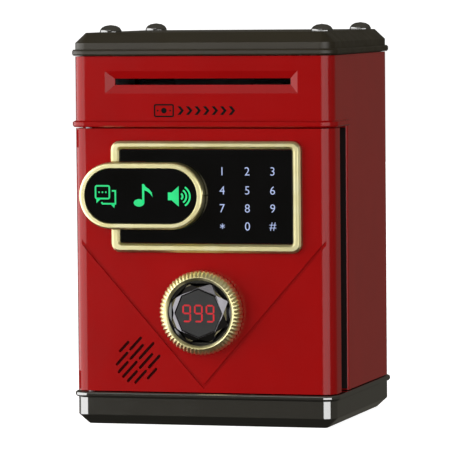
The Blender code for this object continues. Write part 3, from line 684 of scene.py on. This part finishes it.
@dataclass
class Artwork:
    """Flat figures that face the front, drawn by their X and Z.

    Attributes:
        front: The Y of their faces.
        thick: Their thickness.
        shape: The mesh that they are in.
    """

    front: float
    thick: float
    shape: Shape = field(default_factory=bmesh.new)

    def fill(self, outline: Sequence[Point]) -> None:
        """Adds a filled outline."""
        prism(self.shape, *([(x, y, z) for x, z in outline] for y in (self.front, self.front + self.thick)))

    def line(self, path: Sequence[Point], width: float, closed: bool = False) -> None:
        """Adds a line.

        Args:
            path: Its middle.
            width: Its width.
            closed: Whether its end meets its start.
        """
        count = len(path)
        rings = []
        for i, (x, z) in enumerate(path):
            before = path[i - 1] if closed or i else path[0]
            after = path[(i + 1) % count] if closed or i < count - 1 else path[-1]
            ways = [Vector((x - before[0], z - before[1])), Vector((after[0] - x, after[1] - z))]
            ways = [way.normalized() for way in ways if way.length > 0]
            along = sum(ways, Vector((0.0, 0.0))).normalized()
            reach = width / 2 / max(0.5, along.dot(ways[0]))
            corners = [
                Vector((x - side * along.y * reach, y, z + side * along.x * reach)) * MM
                for y in (self.front, self.front + self.thick)
                for side in (1, -1)
            ]
            rings.append([self.shape.verts.new(corner) for corner in corners])
        faces = []
        for i in range(count if closed else count - 1):
            a, b = rings[i], rings[(i + 1) % count]
            faces += [self.shape.faces.new((a[j], a[k], b[k], b[j])) for j, k in ((0, 1), (1, 3), (3, 2), (2, 0))]
        if not closed:
            faces += [self.shape.faces.new([end[j] for j in (0, 1, 3, 2)]) for end in (rings[0], rings[-1])]
        bmesh.ops.recalc_face_normals(self.shape, faces=faces)

    def add_to(self, other: Shape, x: float, z: float) -> None:
        """Moves the figures and adds them to another mesh."""
        bmesh.ops.translate(self.shape, vec=Vector((x, 0.0, z)) * MM, verts=self.shape.verts)
        pour(mesh_from(self.shape), other)


def pour(mesh: Mesh, shape: Shape) -> None:
    """Adds a mesh to a shape and removes the mesh."""
    shape.from_mesh(mesh)
    bpy.data.meshes.remove(mesh)


def arc(centre: Point, radius: float, start: float, end: float, steps: int) -> list[Point]:
    """Points on an arc.

    Args:
        centre: The X and Z of its centre.
        radius: Its radius.
        start: Its first angle in degrees, from X towards Z.
        end: Its last angle in degrees.
        steps: How many parts it has.

    Returns:
        The points.
    """
    angles = [radians(start + (end - start) * i / steps) for i in range(steps + 1)]
    return [(centre[0] + radius * cos(a), centre[1] + radius * sin(a)) for a in angles]


def rounded(centre: Point, size: Point, radius: float) -> list[Point]:
    """The outline of a rectangle with rounded corners.

    Args:
        centre: Its middle.
        size: Its width and height.
        radius: The corners' radius.

    Returns:
        The points, anticlockwise.
    """
    points: list[Point] = []
    for start, right, up in ((0, 1, 1), (90, -1, 1), (180, -1, -1), (270, 1, -1)):
        corner = (centre[0] + right * (size[0] / 2 - radius), centre[1] + up * (size[1] / 2 - radius))
        points += arc(corner, radius, start, start + 90, 4)
    return points


def mesh_from(shape: Shape) -> Mesh:
    """Turns a shape to a mesh.

    Args:
        shape: The shape; it is freed.

    Returns:
        The mesh.
    """
    mesh = bpy.data.meshes.new("work")
    shape.to_mesh(mesh)
    shape.free()
    return mesh


def middle(node: str) -> Vector:
    """The middle of a CAD node's box in millimetres."""
    low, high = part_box(node)
    return (low + high) / 2 / MM


def front_of(node: str) -> float:
    """The Y of a CAD node's front in millimetres."""
    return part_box(node)[0].y / MM


# ---- the case


@dataclass
class Case:
    """The red housing with its note slot, the black lid with its four studs, and the black foot.

    Attributes:
        edge: The radius of the mouldings' edges.
        note_size: The width and height of the printed banknote sign.
        sign_height: The height of the sign's middle above the table.
        sign_start: The X of the banknote's middle.
        chevrons: How many chevrons follow the banknote.
        pitch: Their spacing.
        ink: The thickness of the print.
        proud: How far it stands in front of the door.
        wall_edge: The radius of the case's edge beside the door.
        gap_shade: The width and thickness of the black strip of painted shade in the gap beside the door.
        gap_shade_edge: How far the strip stops short of the case's side.
        gap_shade_end: How far it stops short of the door's top and bottom.
        flange_depth: How far the flange that it lies on is behind the door's front.
    """

    edge: float = 0.35
    note_size: Point = (9.0, 5.4)
    sign_height: float = 146.7
    sign_start: float = -18.0
    chevrons: int = 7
    pitch: float = 4.1
    ink: float = 0.2
    proud: float = 0.03
    wall_edge: float = 1.2
    # Painted shade: a black strip darkens the gap beside the door.
    gap_shade: Point = (3.5, 0.5)
    gap_shade_edge: float = 0.75
    gap_shade_end: float = 0.4
    flange_depth: float = 27.48

    def build(self) -> None:
        """Builds and dresses the case."""
        moulding("housing_moulding", RED_ABS, "housing_shell", self.edge, self.round_wall)
        self.lay_gap_shade()
        moulding("lid_moulding", BLACK_ABS, "top_lid", self.edge)
        moulding("foot_moulding", BLACK_CHROME_ABS, "base_tray", self.edge)
        for place in ("front_left", "front_right", "rear_left", "rear_right"):
            moulding(f"stud_{place}", BLACK_CHROME_ABS, f"lid_stud_{place}", 0.3)
            dress(STEEL, f"base_screw_{place}")
        dress(BLACK_ABS, "battery_cover")
        dress(STEEL, "battery_cover_screw", "battery_contact_left", "battery_contact_right")
        dress(STEEL, "hinge_pin_top", "hinge_pin_bottom", "strike_plate")
        dress(CELL_SLEEVE, "battery_1", "battery_2", "battery_3")
        self.print_sign()

    def round_wall(self, shape: Shape) -> None:
        """Rounds the upright edge of the case's side wall beside the door's free side.

        Args:
            shape: The housing's mesh.
        """
        flatten(shape)
        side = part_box("door_panel")[1].x
        near, tall = 0.3 * MM, 50 * MM
        edges = [
            edge
            for edge in shape.edges
            if all(abs(vert.co.x - side) < near for vert in edge.verts)
            and abs(edge.verts[0].co.y - edge.verts[1].co.y) < near
            and edge.calc_length() > tall
            and edge.calc_face_angle(0.0) > 1.0
        ]
        wide = self.wall_edge * MM
        bmesh.ops.bevel(shape, geom=edges, offset=wide, segments=4, profile=0.5, affect="EDGES", clamp_overlap=True)

    def lay_gap_shade(self) -> None:
        """Lays a black strip of painted shade on the case's flange, seen in the gap beside the door."""
        low, high = (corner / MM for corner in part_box("door_panel"))
        back = low.y + self.flange_depth
        wide, thick = self.gap_shade
        right, left = high.x - self.gap_shade_edge, high.x - self.gap_shade_edge - wide
        half = thick / 2
        section = [(left, back), (right, back)]
        for x, start in ((right - half, 0), (left + half, -90)):
            section += arc((x, back - half), half, start, start - 90, 3)
        shape = bmesh.new()
        heights = (low.z + self.gap_shade_end, high.z - self.gap_shade_end)
        prism(shape, *([(x, y, z) for x, y in section] for z in heights))
        # The strip is painted shade: it darkens the gap beside the door.
        piece("door_gap_shade", mesh_from(shape), GAP_SHADE_FOAM, Body.CASE)

    def print_sign(self) -> None:
        """Prints a banknote and a row of chevrons under the note slot."""
        front = front_of("door_panel") - self.proud
        x, height = self.sign_start, self.sign_height
        sign = Artwork(front, self.ink)
        sign.line(rounded((x, height), self.note_size, 0.6), 0.7, True)
        sign.fill(arc((x, height), 1.35, 0, 337.5, 15))
        for side in (-1, 1):
            sign.fill(arc((x + side * 3.0, height), 0.45, 0, 315, 7))
        piece("note_sign", mesh_from(sign.shape), BLACK_INK, Body.CASE)

        seed = Artwork(0.0, self.ink)
        slant, deep, arm = 1.7, 2.0, 1.5
        seed.fill([(0, deep), (arm, deep), (arm + slant, 0), (arm, -deep), (0, -deep), (slant, 0)])
        start = Vector((x + self.note_size[0] / 2 + 2.0, front, height)) * MM
        step = (self.pitch * MM, 0.0, 0.0)
        row = grown(row_tree(), seed.shape, BLACK_INK, Count=self.chevrons, Start=start, Step=step)
        piece("chevron_sign", row, BLACK_INK, Body.CASE)


# ---- the door


@dataclass
class Door:
    """The red door with its V groove and speaker slots, its back cover and what is screwed to it.

    Attributes:
        edge: The radius of the mouldings' edges.
        thread: The width and thickness of a thread of the speaker's grille cloth.
        thread_pitch: The spacing of the threads.
        threads: How many threads the cloth has each way.
        slot_slope: The slope of the speaker's slots in degrees.
        slot_pitch: The spacing of their rows.
        slot_rows: How many rows lie on each side of the middle one.
        corner_reach: How far from the speaker's middle the front's lower left part reaches.
        cloth_gap: How far the cloth's back is in front of the speaker.
    """

    edge: float = 0.16
    slot_slope: float = 47.0
    slot_pitch: float = 3.05
    slot_rows: int = 3
    corner_reach: float = 48.0
    thread: Point = (0.52, 0.09)
    thread_pitch: float = 0.6
    threads: int = 39
    cloth_gap: float = 0.28

    def build(self) -> None:
        """Builds and dresses the door."""
        moulding("door_moulding", RED_ABS, "door_panel", self.edge, self.part_slots)
        moulding("door_back_moulding", BLACK_ABS, "door_back_cover", self.edge)
        dress(STEEL, *(f"cover_screw_{index}" for index in (1, 2, 3, 4)))
        dress(STEEL, "speaker_frame", "speaker_magnet", "lock_solenoid", "latch_bolt", "lock_plunger")
        dress(PAPER_CONE, "speaker_cone")
        dress(CIRCUIT_BOARD, "main_board", "touch_board", "pod_board", "display_module")
        dress(GREY_ABS, "display_stem")
        self.stretch_cloth()

    def part_slots(self, shape: Shape) -> None:
        """Divides the front under the V groove along the rows of slots, so that no face goes round a slot.

        Args:
            shape: The door panel's mesh.
        """
        centre = middle("speaker_frame") * MM
        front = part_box("door_panel")[0].y
        slope = radians(self.slot_slope)
        across = Vector((sin(slope), 0.0, -cos(slope)))

        def at_front(part: bmesh.types.BMFace | bmesh.types.BMEdge) -> bool:
            """Whether a face or an edge lies in the door's front."""
            return all(abs(vert.co.y - front) < 0.01 * MM for vert in part.verts)

        for row in range(-self.slot_rows, self.slot_rows + 1):
            faces = [
                face
                for face in shape.faces
                if at_front(face)
                and max((vert.co - centre).xz.length for vert in face.verts) < self.corner_reach * MM
            ]
            edges = {edge for face in faces for edge in face.edges}
            verts = {vert for face in faces for vert in face.verts}
            made = bmesh.ops.bisect_plane(
                shape,
                geom=[*faces, *edges, *verts],
                dist=TOUCHING,
                plane_co=centre + across * (row * self.slot_pitch * MM),
                plane_no=across,
            )
            for part in made["geom_cut"]:
                if isinstance(part, bmesh.types.BMEdge) and at_front(part):
                    part.seam = True

    def stretch_cloth(self) -> None:
        """Stretches a cloth of crossing threads between the slots and the speaker."""
        centre = middle("speaker_frame")
        wide, thick = self.thread
        reach = self.thread_pitch * (self.threads - 1) / 2
        cloth = bmesh.new()
        half, long = wide / 2, reach + wide / 2
        right, up = Vector((1.0, 0.0, 0.0)), Vector((0.0, 0.0, 1.0))
        for layer, along, u, w in ((2, right, half, long), (1, up, long, half)):
            seed = Artwork(0.0, thick)
            seed.fill([(-u, -w), (u, -w), (u, w), (-u, w)])
            front = front_of("speaker_frame") - self.cloth_gap - layer * thick
            start = (Vector((centre.x, front, centre.z)) - along * reach) * MM
            step = along * self.thread_pitch * MM
            pour(grown(row_tree(), seed.shape, GRILLE_CLOTH, Count=self.threads, Start=start, Step=step), cloth)
        piece("speaker_cloth", mesh_from(cloth), GRILLE_CLOTH, Body.DOOR)


@dataclass
class Keypad:
    """The gold-framed black touch panel with its twelve backlit legends.

    Attributes:
        legends: The legends, row by row.
        columns: The X of each column.
        rows: The height of each row's middle.
        letter: The height of a digit.
        star: The reach and line width of the star's arms.
        ink: The thickness of the print.
        proud: How far it stands in front of the window.
        thin: How much the digits' outlines are drawn in.
    """

    legends: tuple[str, ...] = ("123", "456", "789", "*0#")
    columns: tuple[float, ...] = (10.2, 22.2, 34.3)
    rows: tuple[float, ...] = (118.8, 110.0, 101.7, 93.4)
    letter: float = 3.9
    star: Point = (1.25, 0.36)
    ink: float = 0.05
    proud: float = 0.02
    thin: float = 0.04

    def build(self) -> None:
        """Builds and dresses the keypad."""
        moulding("keypad_frame", GOLD_PLATE, "keypad_bezel", 0.7)
        moulding("keypad_window", BLACK_ACRYLIC, "keypad_screen", 0.15)
        front = front_of("keypad_screen") - self.proud
        art = Artwork(front, self.ink)
        reach, width = self.star
        for row, height in zip(self.legends, self.rows):
            for legend, x in zip(row, self.columns):
                if legend != "*":
                    self.stamp(art.shape, legend, Vector((x, front, height)) * MM)
                    continue
                for turn in (30, 90, 150):
                    art.line(arc((x, height), reach, turn, turn + 180, 1), width)
        piece("keypad_legends", mesh_from(art.shape), BLUE_LEGEND, Body.DOOR)

    def stamp(self, shape: Shape, legend: str, place: Vector) -> None:
        """Adds one legend.

        Args:
            shape: The mesh that gets it.
            legend: The character.
            place: Its middle.
        """
        letters = bpy.data.curves.new("legend", "FONT")
        letters.body = legend
        letters.size = self.letter * MM / CAPITAL
        letters.extrude = 0.03 * MM
        letters.resolution_u = 4
        letters.offset = -self.thin * MM
        mesh = settled(hang("legend_work", letters))
        points = [vertex.co for vertex in mesh.vertices]
        centre = Vector([(min(p[i] for p in points) + max(p[i] for p in points)) / 2 for i in range(3)])
        upright = Matrix.Rotation(pi / 2, 4, "X") @ Matrix.Translation(-centre)
        mesh.transform(Matrix.Translation(place) @ upright)
        pour(mesh, shape)


@dataclass
class Pod:
    """The raised gold pill with its black window and three green icons.

    Attributes:
        bubbles: The X and Z of the speech bubbles' middle, from the pod's middle.
        note: The same for the music note.
        horn: The same for the loudspeaker.
        line: The width of the icons' lines.
        ink: The thickness of the print.
        proud: How far it stands in front of the window.
    """

    bubbles: Point = (-16.8, 0.1)
    note: Point = (1.2, 0.5)
    horn: Point = (18.4, 0.0)
    line: float = 0.75
    ink: float = 0.1
    proud: float = 0.05

    def build(self) -> None:
        """Builds and dresses the pod."""
        moulding("pod_frame", GOLD_PLATE, "pod_bezel", 0.25)
        moulding("pod_window", BLACK_ACRYLIC, "pod_screen", 0.15)
        front = front_of("pod_screen") - self.proud
        centre = middle("pod_screen")
        shape = bmesh.new()
        icons = ((self.draw_bubbles, self.bubbles), (self.draw_note, self.note), (self.draw_horn, self.horn))
        for draw, (x, z) in icons:
            icon = Artwork(front, self.ink)
            draw(icon)
            icon.add_to(shape, centre.x + x, centre.z + z)
        piece("pod_icons", mesh_from(shape), GREEN_ICON, Body.DOOR)

    def draw_bubbles(self, icon: Artwork) -> None:
        """Draws two overlapping speech bubbles, the first with three dots.

        Args:
            icon: The artwork that gets them.
        """
        icon.line(rounded((-1.65, 1.65), (6.7, 5.9), 0.7), self.line, True)
        icon.fill([(-4.6, -1.2), (-4.6, -3.4), (-2.2, -1.2)])
        for x in (-3.3, -1.65, 0.0):
            icon.fill(arc((x, 1.65), 0.42, 0, 315, 7))
        icon.line([(2.9, 2.3), (4.6, 2.3), (4.6, -3.7), (-1.6, -3.7), (-2.2, -3.0)], self.line)
        icon.fill([(2.0, -3.6), (4.4, -3.6), (4.0, -5.6)])

    def draw_note(self, icon: Artwork) -> None:
        """Draws a quaver: its head, its stem and its flag.

        Args:
            icon: The artwork that gets it.
        """
        icon.fill([(-2.0 + 2.548 * u, -3.6 + 1.75 * w) for u, w in arc((0.0, 0.0), 1.0, 0, 337.5, 15)])
        icon.fill([(-0.4, -3.8), (0.6, -3.8), (0.6, 5.1), (-0.4, 5.1)])
        icon.fill([(0.5, 5.1), (1.3, 3.9), (3.0, 2.7), (4.2, 1.3), (4.6, -0.9), (3.5, 0.7), (2.0, 1.8), (0.5, 2.3)])

    def draw_horn(self, icon: Artwork) -> None:
        """Draws a loudspeaker with three waves.

        Args:
            icon: The artwork that gets it.
        """
        icon.fill([(-5.2, 1.8), (-3.4, 1.8), (-3.4, -1.8), (-5.2, -1.8)])
        icon.fill([(-3.4, 1.8), (0.0, 4.7), (0.0, -4.7), (-3.4, -1.8)])
        for radius, width in ((1.5, 0.9), (3.3, 0.8), (5.0, 0.8)):
            icon.line(arc((0.35, 0.0), radius, -58, 58, 12), width)


# ---- the knob


@dataclass
class Knob:
    """The gold knurled ring that turns round the display.

    Attributes:
        flutes: How many flutes the knurl has.
        crest: How deep the knurl is from a valley over a crest to a valley, as shares of the full depth.
        knurl: The rows of the fluted outside from back to front: radius, distance behind the front, depth.
        bore: The rows of the plain inside from front to back: radius, distance behind the front.
        liner: The section of the bore's dark liner: radius, distance behind the front.
        sharp: The angle in degrees from which an edge stays sharp.
    """

    flutes: int = 60
    crest: tuple[float, ...] = (1.0, 0.4, 0.0, 0.4, 1.0)
    knurl: tuple[tuple[float, float, float], ...] = (
        *((18.5, 7.0, 0.0), (19.3, 6.45, 0.3), (19.66, 6.0, 0.55), (19.68, 5.6, 0.6), (19.68, 2.6, 0.75)),
        *((19.5, 2.2, 0.75), (18.2, 1.1, 0.65), (16.95, 0.12, 0.3), (16.7, 0.01, 0.1)),
    )
    bore: tuple[Point, ...] = (
        *((16.45, 0.01), (16.3, 0.1), (15.3, 0.92), (15.2, 1.1), (15.2, 4.8)),
        *((10.3, 4.8), (10.3, 15.78), (12.45, 15.78), (12.45, 7.0)),
    )
    liner: tuple[Point, ...] = (
        *((15.18, 1.15), (15.18, 4.78), (10.5, 4.78)),
        *((10.5, 4.68), (15.05, 4.68), (15.05, 1.15)),
    )
    sharp: float = 32.0

    def build(self) -> None:
        """Builds and dresses the knob."""
        bore = [(radius, back, 0.0) for radius, back in self.bore]
        ring = self.turned("knob_ring_plated", GOLD_PLATE, [*self.knurl, *bore], self.crest)
        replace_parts(ring, "knob_ring")
        liner = [(radius, back, 0.0) for radius, back in self.liner]
        self.turned("knob_bore_liner", BLACK_CHROME_ABS, liner, (0.0, 0.0))
        dress(WHITE_NYLON, "knob_cam")

    def turned(
        self, name: str, finish: Finish, rows: Sequence[tuple[float, float, float]], crest: Sequence[float]
    ) -> bpy.types.Object:
        """Makes a ring of one closed section, repeated for each flute.

        Args:
            name: The piece's name.
            finish: Its finish.
            rows: The section: radius, distance behind the knob's front, depth of the flutes.
            crest: How much of that depth is cut at each step across a flute.

        Returns:
            The piece.
        """
        front, centre = front_of("knob_ring"), middle("knob_ring")
        seed = bmesh.new()
        last = len(crest) - 1
        grid = []
        for radius, back, deep in rows:
            reaches = [radius - deep * share for share in crest]
            turns = [2 * pi / self.flutes * (i / last - 0.5) for i in range(last + 1)]
            points = [(reach * cos(turn), front + back, reach * sin(turn)) for reach, turn in zip(reaches, turns)]
            grid.append([seed.verts.new(Vector(point) * MM) for point in points])
        for near, far in zip(grid, grid[1:] + grid[:1]):
            for i in range(last):
                seed.faces.new((near[i], near[i + 1], far[i + 1], far[i]))
        axis = (centre.x * MM, 0.0, centre.z * MM)
        mesh = grown(ring_tree(), seed, finish, Count=self.flutes, Centre=axis)
        shape = bmesh.new()
        pour(mesh, shape)
        bmesh.ops.recalc_face_normals(shape, faces=shape.faces)
        mesh = mesh_from(shape)
        mesh.shade_smooth()
        mesh.set_sharp_from_angle(angle=radians(self.sharp))
        return piece(name, mesh, finish, Body.KNOB)


@dataclass
class Display:
    """The faceted display in the middle of the knob, with three seven-bar digits.

    Attributes:
        bar: The length and width of a bar.
        pitch: The spacing of the digits.
        half: Half the height between the top and bottom bars.
        sunk: How far the window's face is set back, so that the digits stay within the cap.
        ink: The thickness of the bars.
    """

    bar: Point = (3.3, 0.75)
    pitch: float = 5.6
    half: float = 3.7
    sunk: float = 0.12
    ink: float = 0.1

    def sink(self, shape: Shape) -> None:
        """Sets the front of the window back.

        Args:
            shape: The window's mesh.
        """
        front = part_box("display_window")[0].y
        for vert in shape.verts:
            if vert.co.y < front + 0.01 * MM:
                vert.co.y += self.sunk * MM

    def build(self) -> None:
        """Builds and dresses the display."""
        moulding("display_cap_faceted", SMOKED_CHROME, "display_cap", 0.18)
        moulding("display_face_window", DISPLAY_FACE, "display_window", 0.1, self.sink)
        centre = middle("display_window")
        seed = Artwork(0.0, self.ink)
        long, wide = self.bar
        side, rise = long / 2 + 0.05, self.half / 2
        flat_bars = [(0.0, height, False) for height in (self.half, 0.0, -self.half)]
        upright_bars = [(-side, rise, True), (side, rise, True), (side, -rise, True)]
        for x, z, upright in (*flat_bars, *upright_bars):
            reach, half = (self.half if upright else long) / 2 - 0.12, wide / 2
            slope = reach - half
            outline = [(-reach, 0.0), (-slope, half), (slope, half), (reach, 0.0), (slope, -half), (-slope, -half)]
            if upright:
                outline = [(w, u) for u, w in outline]
            seed.fill([(x + u, z + w) for u, w in outline])
        start = Vector((centre.x - self.pitch, front_of("display_window") + self.sunk / 4, centre.z)) * MM
        digits = grown(row_tree(), seed.shape, RED_BAR, Count=3, Start=start, Step=(self.pitch * MM, 0.0, 0.0))
        piece("display_digits", digits, RED_BAR, Body.DOOR)


@dataclass
class Feeder:
    """The note feeder behind the slot: a deck, two roller shafts, gears and a motor."""

    def build(self) -> None:
        """Dresses the feeder."""
        dress(GREY_ABS, "feeder_deck", "note_guide", "coin_chute")
        dress(STEEL, "feed_motor", "feed_shaft", "idler_shaft")
        dress(RUBBER, "feed_roller_left", "feed_roller_right", "idler_roller_left", "idler_roller_right")
        dress(WHITE_NYLON, "feed_gear", "motor_pinion")


# ---- the studio


@dataclass(frozen=True)
class Softbox:
    """A soft rectangular light that faces the object.

    Attributes:
        name: Its name.
        heading: Its bearing in degrees, from the front towards the right.
        lift: Its bearing above the table in degrees.
        distance: How far it is from the object in metres.
        size: Its width and height in metres.
        radiance: How bright its face is.
        mirrored: Whether gloss mirrors it.
    """

    name: str
    heading: float
    lift: float
    distance: float
    size: Point
    radiance: float
    mirrored: bool = True

    def build(self, target: Vector) -> None:
        """Hangs the light.

        Args:
            target: What it faces.
        """
        lamp = bpy.data.lights.new(self.name, "AREA")
        lamp.shape = "RECTANGLE"
        lamp.size, lamp.size_y = self.size
        lamp.energy = self.radiance * WATTS_PER_RADIANCE * self.size[0] * self.size[1]
        holder = hang(self.name, lamp)
        heading, lift = radians(self.heading), radians(self.lift)
        way = Vector((sin(heading) * cos(lift), -cos(heading) * cos(lift), sin(lift)))
        holder.location = target + way * self.distance
        holder.rotation_euler = way.to_track_quat("Z", "Y").to_euler()
        holder.visible_camera = False
        holder.visible_glossy = self.mirrored


@dataclass
class Studio:
    """The floor, the lights, the background and the camera.

    Attributes:
        lamps: The soft boxes.
        floor_size: The floor's side in metres.
        camera_place: Where the camera stands in metres.
        heading: How far the camera looks to the left of straight back, in degrees.
        dip: How far it looks down.
        roll: How far it leans.
        lens: Its focal length in millimetres on a 36 mm sensor.
    """

    lamps: tuple[Softbox, ...] = (
        Softbox("left_softbox", -71.0, 2.0, 1.7, (3.65, 2.4), 2.7),
        Softbox("right_softbox", 35.5, 0.0, 3.6, (3.9, 2.6), 2.45),
        Softbox("side_fill", 88.0, 12.0, 2.5, (1.6, 1.6), 1.2, False),
        Softbox("rear_fill", 172.0, 15.0, 2.5, (2.0, 1.6), 1.3, False),
        Softbox("overhead_softbox", -12.0, 48.0, 2.6, (1.8, 0.8), 1.0),
    )
    floor_size: float = 24.0
    camera_place: tuple[float, float, float] = (0.51568, -1.84779, 0.20335)
    heading: float = 15.698
    dip: float = 3.359
    roll: float = -0.498
    lens: float = 323.65

    def build(self) -> None:
        """Builds the studio."""
        target = (CAD_BOX[0] + CAD_BOX[1]) / 2
        for lamp in self.lamps:
            lamp.build(target)
        self.lay_floor()
        self.hang_background()
        self.place_camera()
        bpy.context.scene.view_settings.view_transform = "Standard"

    def lay_floor(self) -> None:
        """Lays a plain pale floor just under the foot."""
        half, height = self.floor_size / 2, CAD_BOX[0].z - 0.05 * MM
        shape = bmesh.new()
        corners = ((-half, -half), (half, -half), (half, half), (-half, half))
        shape.faces.new([shape.verts.new((x, y, height)) for x, y in corners])
        floor = hang("studio_floor", mesh_from(shape))
        paint = bpy.data.materials.new("white_studio_paper")
        paint.use_nodes = True
        sockets = paint.node_tree.nodes["Principled BSDF"].inputs
        sockets["Base Color"].default_value = (0.8, 0.8, 0.8, 1.0)
        sockets["Roughness"].default_value = 0.9
        sockets["Emission Color"].default_value = WHITE
        sockets["Emission Strength"].default_value = 0.9
        floor.data.materials.append(paint)
        floor.visible_glossy = False
        floor.visible_diffuse = False

    def hang_background(self) -> None:
        """Makes the background white to the eye, dim in reflections and soft as a light."""
        world = bpy.data.worlds.new("studio")
        bpy.context.scene.world = world
        world.use_nodes = True
        tree = world.node_tree
        tree.nodes.clear()
        ray = add(tree, "ShaderNodeLightPath").outputs
        way = add(tree, "ShaderNodeTexCoord").outputs["Generated"]
        height = add(tree, "ShaderNodeSeparateXYZ", {0: way}).outputs["Z"]
        below = {"Value": height, "From Min": -0.6, "From Max": -0.1, "To Min": 0.045, "To Max": 0.105}
        above = {"Value": height, "From Min": 0.3, "From Max": 0.9, "To Min": 0.0, "To Max": 0.06}
        low, high = (add(tree, "ShaderNodeMapRange", inputs).outputs["Result"] for inputs in (below, above))
        level = add(tree, "ShaderNodeMath", {0: low, 1: high}, operation="ADD").outputs[0]
        fill, dim, white = (
            add(tree, "ShaderNodeBackground", {"Color": colour, "Strength": strength}).outputs[0]
            for colour, strength in ((WHITE, 0.16), ((1.0, 0.95, 0.79, 1.0), level), (WHITE, 1.2))
        )
        mirrored = add(tree, "ShaderNodeMixShader", {0: ray["Is Glossy Ray"], 1: fill, 2: dim})
        seen = add(tree, "ShaderNodeMixShader", {0: ray["Is Camera Ray"], 1: mirrored.outputs[0], 2: white})
        add(tree, "ShaderNodeOutputWorld", {"Surface": seen.outputs[0]})

    def place_camera(self) -> None:
        """Places the camera."""
        camera = bpy.data.cameras.new("studio_camera")
        camera.lens = self.lens
        camera.sensor_width = 36.0
        camera.clip_end = 100.0
        holder = hang("studio_camera", camera)
        turn = Matrix.Rotation(radians(self.heading), 4, "Z") @ Matrix.Rotation(radians(90 - self.dip), 4, "X")
        lean = Matrix.Rotation(radians(self.roll), 4, "Z")
        holder.matrix_world = Matrix.Translation(self.camera_place) @ turn @ lean
        bpy.context.scene.camera = holder


def main() -> None:
    """Builds the pieces in order and reports them."""
    logging.basicConfig(level=logging.INFO, format="%(name)s: %(message)s")
    for assembly in (Case(), Door(), Keypad(), Pod(), Knob(), Display(), Feeder(), Studio()):
        LOG.info("building %s", type(assembly).__name__)
        assembly.build()


if __name__ == "__main__":
    main()
